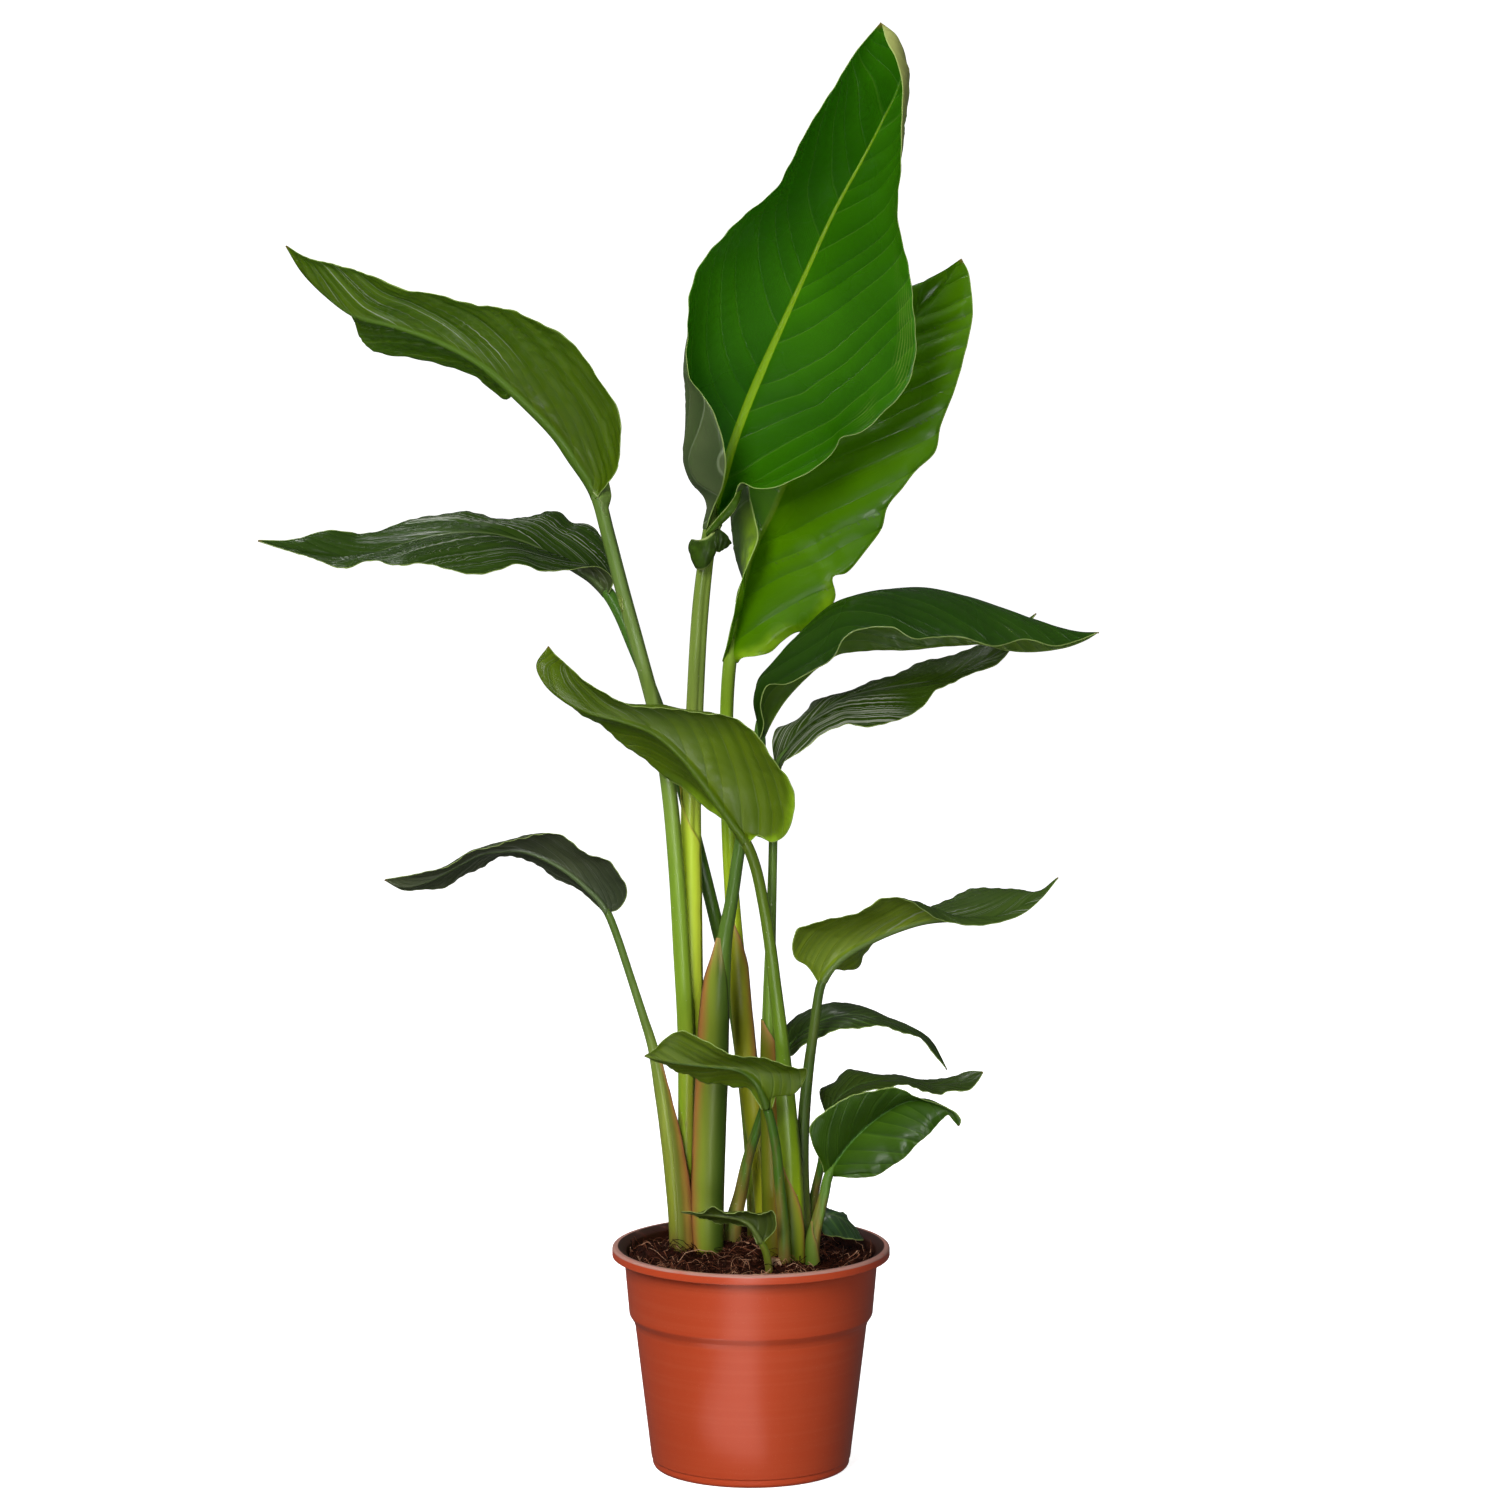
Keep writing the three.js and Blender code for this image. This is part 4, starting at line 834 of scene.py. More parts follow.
def smooth(points):
    """A centripetal Catmull-Rom curve through the points, as a dense row of points"""
    p = np.array(points, float)
    p = np.vstack([2 * p[0] - p[1], p, 2 * p[-1] - p[-2]])
    t = np.linspace(0, 1, CURVE_STEPS, endpoint=False)[:, None]
    rows = []
    for before, start, end, after in zip(p, p[1:], p[2:], p[3:]):
        first, middle, last = (np.sqrt(np.linalg.norm(d)) for d in (start - before, end - start, after - end))
        leave = (start - before) / first - (end - before) / (first + middle) + (end - start) / middle
        arrive = (end - start) / middle - (after - start) / (middle + last) + (after - end) / last
        leave, arrive = leave * middle, arrive * middle
        square = 3 * (end - start) - 2 * leave - arrive
        cube = 2 * (start - end) + leave + arrive
        rows.append(start + leave * t + square * t ** 2 + cube * t ** 3)
    rows.append(p[-2][None])
    return np.vstack(rows)


def lengths_of(line):
    steps = np.linalg.norm(np.diff(line, axis=0), axis=1)
    return np.concatenate([[0], np.cumsum(steps)])


def at(line, distances):
    """Points of a dense line at distances along it"""
    lengths = lengths_of(line)
    return np.stack([np.interp(distances, lengths, line[:, i]) for i in range(3)], -1)


def evenly(line, rows):
    """Points of a dense line, evenly spaced from its start to its end"""
    return at(line, lengths_of(line)[-1] * np.linspace(0, 1, rows))


def unit(vectors):
    return vectors / np.maximum(np.linalg.norm(vectors, axis=-1, keepdims=True), 1e-9)


def circle(radius, height, sides):
    """Points round an upright circle about the pot's axis"""
    turns = np.arange(sides) / sides * FULL_TURN
    return np.stack([radius * np.cos(turns), radius * np.sin(turns), turns * 0 + height], -1)


def linked(name, data):
    """A new object in the scene"""
    thing = bpy.data.objects.new(name, data)
    bpy.context.scene.collection.objects.link(thing)
    return thing


def piece_from(name, points, faces, material, values=None):
    """A smooth shaded piece that rides on the plant's one body, with the values that its material reads"""
    mesh = bpy.data.meshes.new(name)
    mesh.from_pydata((np.array(points) * MM).tolist(), [], faces)
    mesh.validate()
    for key, value in (values or {}).items():
        mesh.attributes.new(key, "FLOAT", "POINT").data.foreach_set("value", np.array(value, float).ravel())
    mesh.shade_smooth()
    mesh.materials.append(material.done())
    mesh.update()
    piece = linked(name, mesh)
    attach(piece, "root")
    return piece


def ring_faces(rows, around):
    """Quads between closed rings of points that lie one after the other"""
    faces = []
    for i in range(rows - 1):
        for j in range(around):
            k = (j + 1) % around
            faces.append((i * around + j, i * around + k, (i + 1) * around + k, (i + 1) * around + j))
    return faces


def tube_faces(rows, around):
    """The faces of a tube of rings, with a flat face at both ends"""
    last = (rows - 1) * around
    return ring_faces(rows, around) + [tuple(reversed(range(around))), tuple(range(last, last + around))]


def sheet_piece(name, slot, top, bottom, material, **values):
    """A thin closed piece from two grids of points, one for each face. A value is given at the grid's points,
    or as a pair of such values, for the top and for the bottom face."""
    rows, columns = top.shape[:2]
    around = columns * 2
    faces = ring_faces(rows, around)
    last = (rows - 1) * around
    for j in range(columns - 1):
        faces.append((j + 1, j, around - 1 - j, around - 2 - j))
        faces.append((last + j, last + j + 1, last + around - 2 - j, last + around - 1 - j))
    rings = {}
    for key, value in values.items():
        pair = value if isinstance(value, tuple) else (value, value)
        above, below = (np.broadcast_to(face, (rows, columns)) for face in pair)
        rings[key] = np.concatenate([above, below[:, ::-1]], axis=1)
    points = np.concatenate([top, bottom[:, ::-1]], axis=1).reshape(-1, 3)
    return piece_from(name, points, faces, material, rings)


# Blades

def spine_of(leaf):
    """The line up a leaf's stalk and on along its midrib, and where along it the stalk ends"""
    points = [(*leaf["foot"], FOOT_HEIGHT)] + [seen(p) for p in leaf["stalk"] + leaf["rib"]]
    line = smooth(points)
    return line, lengths_of(line)[len(leaf["stalk"]) * CURVE_STEPS]


def side_points(centre, along, left, right, distance):
    """Two points beside the rib, towards the left and the right margin"""
    across = np.array(seen(right)) - np.array(seen(left))
    across = unit(across - along * across.dot(along))
    return centre - across * distance, centre + across * distance


def guide(start, points, end, rows):
    return evenly(smooth([start] + [seen(p) for p in points] + [end]), rows)


def arched(rib, margin, along, side, arch):
    """The line down the middle of a half blade that swells by a share of its width"""
    across = margin - rib
    up = unit(np.cross(across * side, along))
    return (rib + margin) / 2 + up * arch * np.linalg.norm(across, axis=1, keepdims=True)


class Surface:
    """The middle surface of a blade as a grid of points, left margin to right margin and base to tip"""

    def __init__(self, leaf):
        line, start = spine_of(leaf)
        total = lengths_of(line)[-1]
        start += JOIN_GAP / 2
        rows = int((total - start) / ROW_STEP) + EXTRA_ROWS
        self.length = total - start
        self.u = np.linspace(0, 1, rows)
        distances = start + self.length * self.u
        rib = at(line, distances)
        along = unit(at(line, np.minimum(distances + 1, total)) - at(line, distances - 1))
        self.rib_radius = leaf["stalk"][-1][3]
        foot = side_points(rib[0], along[0], leaf["left"][0], leaf["right"][0], self.rib_radius + JOIN_GAP)
        tip = side_points(rib[-1], along[-1], leaf["left"][-1], leaf["right"][-1], TIP_WIDTH / 2)
        halves = []
        for side, key in ((0, "left"), (1, "right")):
            margin = guide(foot[side], leaf[key], tip[side], rows)
            if key + "_fold" in leaf:
                ends = [(rib[i] + end[side]) / 2 for i, end in ((0, foot), (-1, tip))]
                middle = guide(ends[0], leaf[key + "_fold"], ends[1], rows)
            else:
                middle = arched(rib, margin, along, 2 * side - 1, leaf.get("arch", 0))
            halves.append(self.half(rib, middle, margin))
        self.points, self.out, self.from_rib, self.from_margin = (
            np.concatenate([left[:, :0:-1], right], axis=1) for left, right in zip(*halves)
        )
        forward = ((self.points - rib[:, None]) * along[:, None]).sum(axis=-1)
        sideways = self.from_rib ** 2 - forward ** 2
        self.ahead = self.length * self.u[:, None] + forward
        self.across = np.sqrt(np.maximum(sideways, (0.75 * self.from_rib) ** 2))
        self.side = np.sign(np.arange(self.out.shape[1]) - (self.out.shape[1] - 1) / 2)
        self.normal = self.normals()

    def half(self, rib, middle, margin):
        """One half blade from the rib out, with close columns by the rib and wider ones beyond: its points,
        how far out each lies as a share, and its distances from the rib and from the margin"""
        width = np.linalg.norm(middle - rib, axis=1) + np.linalg.norm(margin - middle, axis=1)
        near = np.minimum(self.rib_radius * 1.25, width * 0.3) / np.maximum(width, 1e-6)
        near, width = near[:, None], width[:, None]
        outer = np.linspace(0, 1, OUTER_COLUMNS + 1)[None, 1:]
        outer = outer * (1.25 - 0.25 * outer)
        out = np.concatenate([near * np.linspace(0, 1, RIB_COLUMNS)[None], near + (1 - near) * outer], axis=1)
        s = out[..., None]
        points = (
            rib[:, None] * (1 - s) * (1 - 2 * s)
            + middle[:, None] * 4 * s * (1 - s)
            + margin[:, None] * s * (2 * s - 1)
        )
        return points, out, out * width, (1 - out) * width

    def normals(self):
        normal = unit(np.cross(np.gradient(self.points, axis=1), np.gradient(self.points, axis=0)))
        middle = normal.shape[1] // 2
        for row in (0, -1):
            normal[row] = normal[row, middle]
        return normal


def side_veins(surface, spacing, lean, phase):
    """How many side veins have left the rib before the one through each point"""
    share = np.clip(surface.ahead / surface.length, 0, 1)
    lean = lean + TIP_LEAN * share ** 3
    leave = surface.ahead - surface.across * lean * (1 + VEIN_CURVE * surface.across / surface.across.max())
    count = leave / spacing + RIGHT_VEINS_AHEAD * (surface.side > 0)
    return count + 0.16 * np.sin(count * 1.7 + phase) + 0.08 * np.sin(count * 4.1 + 2 * phase)


def pleats(surface, count):
    """The soft swelling between side veins, from 0 on a vein to 1 between two"""
    part = count % 1
    swelling = 2.6 * np.sqrt(part) * (1 - part)
    fade = np.clip(surface.out * 5, 0, 1) * np.clip(surface.from_margin / 6, 0.3, 1)
    ends = np.clip(np.sin(math.pi * surface.u) * 3, 0, 1)[:, None]
    uneven = 0.75 + 0.35 * np.sin(np.floor(count) * 2.3 + surface.side)
    return swelling * fade * ends * uneven


def blade(name, leaf, look, phase):
    """A blade with ripples and frills towards its margin, pleats, a groove on its rib and a keel under it"""
    surface = Surface(leaf)
    u = surface.u[:, None]
    out, from_rib = surface.out, surface.from_rib
    spacing = min(max(SMALLEST_VEIN_STEP, from_rib.max() * VEIN_STEP_SHARE), LARGEST_VEIN_STEP)
    count = side_veins(surface, spacing, look["lean"], phase)
    swell = np.sin(math.pi * u)
    turns = FULL_TURN * (2 + len(leaf["rib"]) / 3) * u
    ripple = RIPPLE_HEIGHT * swell * out ** 3 * np.sin(turns + phase + out * surface.side)
    frill = FRILL_HEIGHT * swell * out ** 6 * np.sin(turns * FRILLS_TO_A_RIPPLE + 2 * phase)
    height = ripple + frill + pleats(surface, count) * spacing * PLEAT_SHARE * look["pleat"]
    keel = surface.rib_radius * (1 - KEEL_TAPER * u ** 0.8)
    under = keel * np.clip(1 - (from_rib / keel) ** 2, 0, 1) ** 0.5
    groove = GROOVE_SHARE * keel * np.exp(-((from_rib / (keel * 0.6)) ** 2)) * np.clip(u * 12, 0, 1)
    half = BLADE_THICKNESS / 2 * (1 - MARGIN_THINNING * out)
    rib_width = np.maximum(surface.rib_radius * 0.42 * (1 - 0.8 * u ** 1.2), 0.45)
    piece = sheet_piece(
        name + "_blade_fine", "leaf_blade",
        surface.points + surface.normal * (height + half - groove)[..., None],
        surface.points + surface.normal * (height - half - under)[..., None],
        blade_material(name, look, spacing),
        upper=(1, 0), edge=surface.from_margin, beside=from_rib, vein=count, rise=u, right=surface.side > 0,
        far=(from_rib / rib_width, from_rib / (rib_width * 1.5)),
    )
    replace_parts(piece, name + "_blade")
    return surface


def blade_material(name, look, spacing):
    """Glossy leaf skin: creased side veins, fine veins between, a pale rib and margin, duller undersides"""
    m = Material(name + "_blade", 0.3, specular=0.45, coat=0.1, coat_roughness=0.2)
    upper, edge, vein, rise = (m.attribute(key) for key in ("upper", "edge", "vein", "rise"))
    mottle = m.noise(8, 3)
    m.tone = m.mix(upper, look["lower"], look["upper"])
    light_and_dark = m.mix(mottle.between(0.3, 0.7), (0.72, 0.74, 0.7, 1), (1.3, 1.2, 1.05, 1))
    m.tone = m.mix(1.0, m.tone, light_and_dark, "MULTIPLY")
    fine_turns = (m.noise(60, 3) * 0.04 + vein) * (FULL_TURN * round(spacing / FINE_VEIN_STEP))
    fine = m.math("SINE", fine_turns).between(-0.4, 1.0)
    m.tint(fine * 0.16, (1.35, 1.3, 1.2))
    # Painted shade: each band between side veins is darkest just past one vein and lightens towards the next
    m.tint((1.0 - m.math("FRACT", vein)) * 0.75, (0.5, 0.58, 0.5))
    gap = m.math("PINGPONG", vein, 0.5) * spacing
    # Pale lines along the side veins: the veins' own paler green on the upper face, a painted sheen on the
    # lower face
    line = gap.between(0.75, 0.3) * m.noise(22, 2).between(0.3, 0.55)
    clear = upper * (look["veins"] - look["under"]) + look["under"]
    m.paint(line * clear, m.mix(upper, (150, 164, 128), (112, 158, 56)))
    if "painted_shade" in look:
        painted_shade(m, *look["painted_shade"])
    if "painted_crease_sheen" in look:
        painted_crease_sheen(m, spacing, *look["painted_crease_sheen"])
    if "glow" in look:
        glow(m, look["glow"])
    # Painted light: the lower face grows paler towards the tip
    if "tip" in look:
        m.paint((1.0 - upper) * rise.between(0.7, 0.85), look["tip"])
    if "streaks" in look:
        streaks(m, *look["streaks"])
    m.paint(m.attribute("far").between(1.2, 0.9) * rise.between(0.93, 0.7), look["rib"])
    m.paint(edge.between(0.65, 0.3) * 0.7, (176, 200, 112))
    m.paint(rise.between(0.985, 1.0) * 0.8, (120, 84, 40))
    m.set("Roughness", mottle * 0.12 + (upper * -0.1 + (look["rough"] - 0.06)))
    m.bump(fine * 0.12 + m.noise(900, 2) * 0.1 + gap.between(0.0, 1.5) * 0.8, 0.0004, 0.7)
    m.let_light_through(look["through"], 0.25)
    return m


def painted_shade(m, start, full, share, sides):
    """Painted shade towards one end of the blade, on both halves or on the upper face's left half"""
    where = m.attribute("rise").between(start, full) * share
    if sides == "left":
        where = where * (1.0 - m.attribute("right")) * m.attribute("upper")
    m.tint(where, (0.4, 0.42, 0.3))


def painted_crease_sheen(m, spacing, share, cover, reach, low, high):
    """Painted sheen along the side veins' pleats, up to a reach from the rib and between two shares of the
    blade's length"""
    beside = m.attribute("beside")
    place = m.add("ShaderNodeCombineXYZ", {
        "X": m.attribute("vein") * spacing,
        "Y": m.attribute("right") * 400 + beside,
    })
    bands = m.noise(0.3, 2, stretch=(1, 0.05, 1), place=place.outputs[0])
    zone = m.attribute("rise").within(low, high, 0.12)
    near = beside.between(reach, reach * 0.5) * beside.between(0.8, 3)
    m.paint(bands.between(0.6 - cover, 0.7 - cover) * zone * near * share, (178, 184, 164))


def glow(m, reach):
    """Painted light, as if shining through thin crinkled parts beside the margin at the blade's base"""
    beside = m.attribute("edge").between(reach, reach * 0.2)
    crinkle = m.noise(110, 3).between(0.35, 0.65)
    m.paint(beside * m.attribute("rise").between(0.34, 0.2) * (crinkle * 0.5 + 0.3), (150, 190, 30))


def streaks(m, low, high, reach):
    """Painted sheen in pale lines beside the right margin, between two shares of the blade's length"""
    edge = m.attribute("edge")
    lines = m.math("PINGPONG", m.noise(30, 2) * 1.2 + edge, 1.1).between(0.45, 0.15)
    beside = edge.between(reach, reach * 0.7) * edge.between(1.5, 3)
    broken = m.noise(45, 2, stretch=(1, 1, 0.3)).between(0.45, 0.58)
    zone = m.attribute("rise").within(low, high, 0.08)
    m.paint(lines * zone * beside * broken * m.attribute("right") * 0.7, (120, 150, 60))


# Stalks

def stalk_radii(leaf, line, distances):
    """A stalk's radius at distances along its line"""
    knots = lengths_of(line)[:: CURVE_STEPS][: len(leaf["stalk"]) + 1]
    radii = [leaf["stalk"][0][3]] + [p[3] for p in leaf["stalk"]]
    return np.interp(distances, knots, radii)


def stalk_at(leaf, heights):
    """A stalk's centre and radius where it passes each height"""
    line, end = spine_of(leaf)
    lengths = lengths_of(line)
    up = line[lengths <= end]
    centre = np.stack([np.interp(heights, up[:, 2], up[:, i]) for i in range(2)], -1)
    return centre, stalk_radii(leaf, line, np.interp(heights, up[:, 2], lengths[lengths <= end]))


def sides_along(line, distances, facing):
    """Side and front directions along a stalk, the front kept as near as can be to where the blade faces"""
    total = lengths_of(line)[-1]
    along = unit(at(line, np.minimum(distances + 1, total)) - at(line, np.maximum(distances - 1, 0)))
    front = unit(facing - along * (along @ facing)[:, None])
    return np.cross(along, front), front


def stalk(name, leaf, look, surface):
    """A faintly fluted stalk with a channel up its front, which runs out inside the blade's keel"""
    line, end = spine_of(leaf)
    blend = min(BLEND_LENGTH, surface.length * BLEND_SHARE)
    into = end + blend * np.sin(np.linspace(0, 1, BLEND_ROWS) * math.pi / 2)
    distances = np.concatenate([np.linspace(0, end, int(end / STALK_STEP) + 2), into[1:]])
    radius = stalk_radii(leaf, line, distances)[:, None]
    past = np.clip((distances - end) / blend, 0, 1)[:, None]
    rise = np.minimum(distances / end, 1)[:, None]
    turn = (np.arange(STALK_SIDES) / STALK_SIDES * FULL_TURN)[None]
    channel = np.exp(-(((turn - math.pi / 2) / CHANNEL_WIDTH) ** 2)) * np.clip((rise - 0.15) * 3, 0, 1)
    flute = FLUTE_SHARE * np.sin(turn * FLUTES + 0.01 * distances[:, None])
    below_blade = np.clip((1 - rise) * 14, 0, 1)
    reach = radius * (1 + (flute - CHANNEL_SHARE * channel) * below_blade) * (1 - BLEND_TAPER * past ** 1.5)
    facing = surface.normal[2, surface.normal.shape[1] // 2]
    side, front = sides_along(line, distances, unit(facing * (1, 1, 0.3)))
    points = at(line, distances)[:, None]
    points = points + side[:, None] * (reach * np.cos(turn))[..., None]
    points = points + front[:, None] * (reach * np.sin(turn))[..., None]
    piece = piece_from(
        name + "_stalk_fine", points.reshape(-1, 3), tube_faces(len(distances), STALK_SIDES),
        stalk_material(name, look), {"rise": np.broadcast_to(rise, reach.shape), "high": points[..., 2]},
    )
    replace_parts(piece, name + "_stalk")


def stalk_material(name, look):
    """Waxy stalk skin: colours that change with height, long streaks, and a brown foot"""
    m = Material(name + "_stalk", 0.36, coat=0.08, coat_roughness=0.25)
    high = m.attribute("high")
    streak = m.noise(260, 3, stretch=(1, 1, 0.04))
    m.tone = m.ramp(m.attribute("rise"), look["stalk"])
    m.tint(streak.between(0.7, 0.35), (0.8, 0.84, 0.75))
    m.tint(m.noise(30, 3, stretch=(1, 1, 0.25)).between(0.4, 0.75), (1.22, 1.16, 0.9))
    flush = high.between(300, 170) * m.noise(45, 3, stretch=(1, 1, 0.12)).between(0.52, 0.66)
    m.paint(flush * 0.5, (168, 104, 62))
    scuffs = high.between(320, 150) * m.noise(150, 4, stretch=(1, 1, 0.3)).between(0.56, 0.68)
    m.paint(scuffs * 0.5, (112, 84, 44))
    m.paint((m.noise(70, 3) * 22 + high).between(164, 134) * 0.6, (112, 84, 46))
    m.paint(m.noise(520, 1).between(0.74, 0.78) * 0.35, (200, 205, 170))
    m.set("Roughness", streak * 0.18 + 0.28)
    m.bump(streak * 0.7 + m.noise(700, 2) * 0.2, 0.0003, 0.5)
    m.let_light_through((150, 190, 40), 0.06)
    return m


# Sheaths and dry scraps

def sheath(name, leaf, flush, near, far, rows, seed):
    """A thin sheath round a stalk's foot. rows: height, left and right angle, lift off the stalk, and how far
    the free edge stands out beyond that. An angle of 0 faces the viewer, and 90 is the stalk's right side."""
    table = np.array(rows, float)
    heights = np.linspace(table[0, 0], table[-1, 0], SHEATH_ROWS)
    fixed, free, lift, out = (np.interp(heights, table[:, 0], table[:, i])[:, None] for i in (1, 2, 3, 4))
    centre, radius = stalk_at(leaf, heights)
    v = np.linspace(0, 1, SHEATH_COLUMNS)[None]
    ragged = np.array([noise.noise(Vector((height * 0.09, seed, 0))) for height in heights])[:, None]
    free = free + ragged * SHEATH_RAGGEDNESS * v
    angle = np.radians(fixed + (free - fixed) * v)
    flare = (np.clip(v - FLARE_START, 0, 1) / (1 - FLARE_START)) ** 1.6
    reach = radius[:, None] + lift * v + SHEATH_GAP + out * flare
    outward = np.stack([np.sin(angle), -np.cos(angle), angle * 0], -1)
    axis = np.concatenate([centre, heights[:, None]], axis=1)[:, None]
    outside = axis + outward * reach[..., None]
    sheet_piece(
        name, "leaf_stalk", outside, outside - outward * SHEATH_THICKNESS,
        sheath_material(name, flush, near, far, seed),
        edge=v, rise=np.linspace(0, 1, SHEATH_ROWS)[:, None],
        inward=reach * np.abs(np.radians(free - fixed)) * (1 - v),
    )


def sheath_material(name, flush, near, far, seed):
    """Yellow-green sheath that reddens towards its free edge, with a thin, dry, tan and brown margin"""
    m = Material(name, 0.42, specular=0.4)
    edge = m.attribute("edge")
    streak = m.noise(300, 3, stretch=(1, 1, 0.04))
    # From the fixed edge's colour to the free edge's: partly the sheath's own tone, partly painted shade
    # across it
    m.tone = m.mix(edge.between(0.25, 0.75), near, far)
    m.tint(1.0 - streak, (0.72, 0.76, 0.7))
    wander = m.noise(34 + seed, 3, stretch=(1, 1, 0.3)) * 0.3 + edge
    m.paint(wander.between(0.8, 1.1) * flush, (176, 112, 62))
    margin = m.attribute("inward").between(1.3, 0.5) * min(flush + 0.15, 1)
    m.paint(margin, m.mix(m.noise(160, 3), (122, 66, 34), (206, 148, 104)))
    m.paint((streak * 0.2 + m.attribute("rise")).between(0.98, 1.12) * 0.5, (190, 160, 96))
    m.bump(streak, 0.0003, 0.6)
    m.let_light_through((200, 190, 50), 0.12)
    return m


def scrap(name, slot, middle, margin, bulge, crinkle, seed, first, second):
    """A thin curved scrap between two edges, which are given as they are seen"""
    edges = (smooth([seen(p) for p in edge]) for edge in (first, second))
    a, b = (evenly(edge, SCRAP_ROWS)[:, None] for edge in edges)
    u = np.linspace(0, 1, SCRAP_ROWS)[:, None, None]
    v = np.linspace(0, 1, SCRAP_COLUMNS)[None, :, None]
    grid = a + (b - a) * v
    normal = unit(np.cross(np.gradient(grid, axis=1), np.gradient(grid, axis=0)))
    if normal[..., 1].mean() > 0:
        normal = -normal
    waves = np.sin(u * 23 + seed) * np.sin(v * 5 + seed + u * 9)
    grid = grid + normal * (bulge * 4 * v * (1 - v) + crinkle * waves)
    half = normal * SCRAP_THICKNESS / 2
    material = scrap_material(name, middle, margin)
    sheet_piece(name, slot, grid + half, grid - half, material, edge=np.abs(2 * v[..., 0] - 1))


def scrap_material(name, middle, margin):
    """Crinkled skin, darker in patches, with a margin of another colour"""
    m = Material(name, 0.45, specular=0.4)
    wander = m.noise(90, 3) * 0.3 + m.attribute("edge")
    m.tone = m.mix(wander.between(0.98, 1.12), middle, margin)
    m.tint(m.noise(200, 3).between(0.65, 0.35), (0.6, 0.6, 0.55))
    m.bump(m.noise(260, 4), 0.0006, 0.6)
    m.let_light_through(margin, 0.12)
    return m


# Soil

def random_from(seed):
    """Even random draws from 0 to 1, the same ones on any machine"""
    state = seed
    while True:
        state = state * 16807 % 2147483647
        yield state / 2147483647


def soil_lumps():
    """The lumps and hollows that are listed, and smaller ones in random places"""
    draws = random_from(LUMP_SEED)
    lumps = list(SOIL_LUMPS)
    for _ in range(DRAWN_LUMPS):
        angle = next(draws) * FULL_TURN
        radius = LUMP_SPREAD * math.sqrt(next(draws))
        height = (next(draws) - 0.5) * LUMP_HEIGHTS
        width = NARROWEST_LUMP + (WIDEST_LUMP - NARROWEST_LUMP) * next(draws)
        lumps.append((radius * math.cos(angle), radius * math.sin(angle), height, width))
    return lumps


def soil_surface(x, y, lumps):
    """The soil's height: its lumps, a heap along the wall, and three sizes of unevenness"""
    height = SOIL_HEIGHT
    for lump_x, lump_y, rise, width in lumps:
        height += rise * math.exp(-((x - lump_x) ** 2 + (y - lump_y) ** 2) / width ** 2)
    heap = min(max((math.hypot(x, y) - HEAP_START) / HEAP_WIDTH, 0), 1)
    height += heap * (HEAP_HEIGHT + 5 * noise.noise(Vector((x * 0.06, y * 0.06, 5))))
    height += 2.2 * noise.noise(Vector((x * 0.14, y * 0.14, 3)))
    height += 1.6 * abs(noise.noise(Vector((x * 0.34, y * 0.34, 7))))
    return height + 0.7 * noise.noise(Vector((x * 0.9, y * 0.9, 1)))


def wall_radius(height):
    """The pot's inner radius under its rim"""
    slope = (COLLAR_TOP_RADIUS - COLLAR_FOOT_RADIUS) / (POT_HEIGHT - COLLAR_FOOT_HEIGHT)
    return COLLAR_FOOT_RADIUS - WALL + slope * (height - COLLAR_FOOT_HEIGHT)


def add_soil():
    """The soil fills the pot: rings up its side, then rings of its surface that close in on the middle"""
    lumps = soil_lumps()
    edge = wall_radius(SOIL_HEIGHT) - SOIL_GAP
    rings = [circle(radius, height, SOIL_SIDES) for radius, height in (
        (BASE_RADIUS - WALL - 1, FLOOR_THICKNESS + 0.4),
        (BODY_TOP_RADIUS - WALL - 1, BODY_TOP_HEIGHT),
        (COLLAR_FOOT_RADIUS - WALL - 1, COLLAR_FOOT_HEIGHT),
        (edge, SOIL_HEIGHT - EDGE_DEPTH),
    )]
    for i in range(SOIL_RINGS):
        ring = circle(edge * (1 - i / SOIL_RINGS), 0, SOIL_SIDES)
        ring[:, 2] = [soil_surface(x, y, lumps) for x, y, _ in ring]
        rings.append(ring)
    last = (len(rings) - 1) * SOIL_SIDES
    middle = last + SOIL_SIDES
    faces = tube_faces(len(rings), SOIL_SIDES)[:-1]
    faces += [(last + j, last + (j + 1) % SOIL_SIDES, middle) for j in range(SOIL_SIDES)]
    points = np.concatenate(rings + [[(0, 0, soil_surface(0, 0, lumps))]])
    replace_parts(piece_from("soil_fine", points, faces, soil_material()), "soil")
    add_crumbs(lumps, edge)
    add_fibres(lumps, edge)


def soil_material():
    """Dark red-brown coir mix in darker and lighter patches, with fine dusty specks"""
    m = Material("coir_mix", 0.92, specular=0.15)
    coarse = m.noise(120, 6, roughness=0.65)
    fine = m.noise(700, 4, roughness=0.7)
    # The darkest colours fall where the bump below is lowest: partly the mix's own patches, partly painted
    # shade in the hollows
    m.tone = m.ramp(coarse, [(8, 3, 2), (24, 10, 7), (56, 26, 18), (84, 46, 32)])
    m.paint(fine.between(0.6, 0.8), (96, 56, 38))
    m.bump(coarse * 0.8 + fine * 0.3, 0.0018, 1.0)
    return m


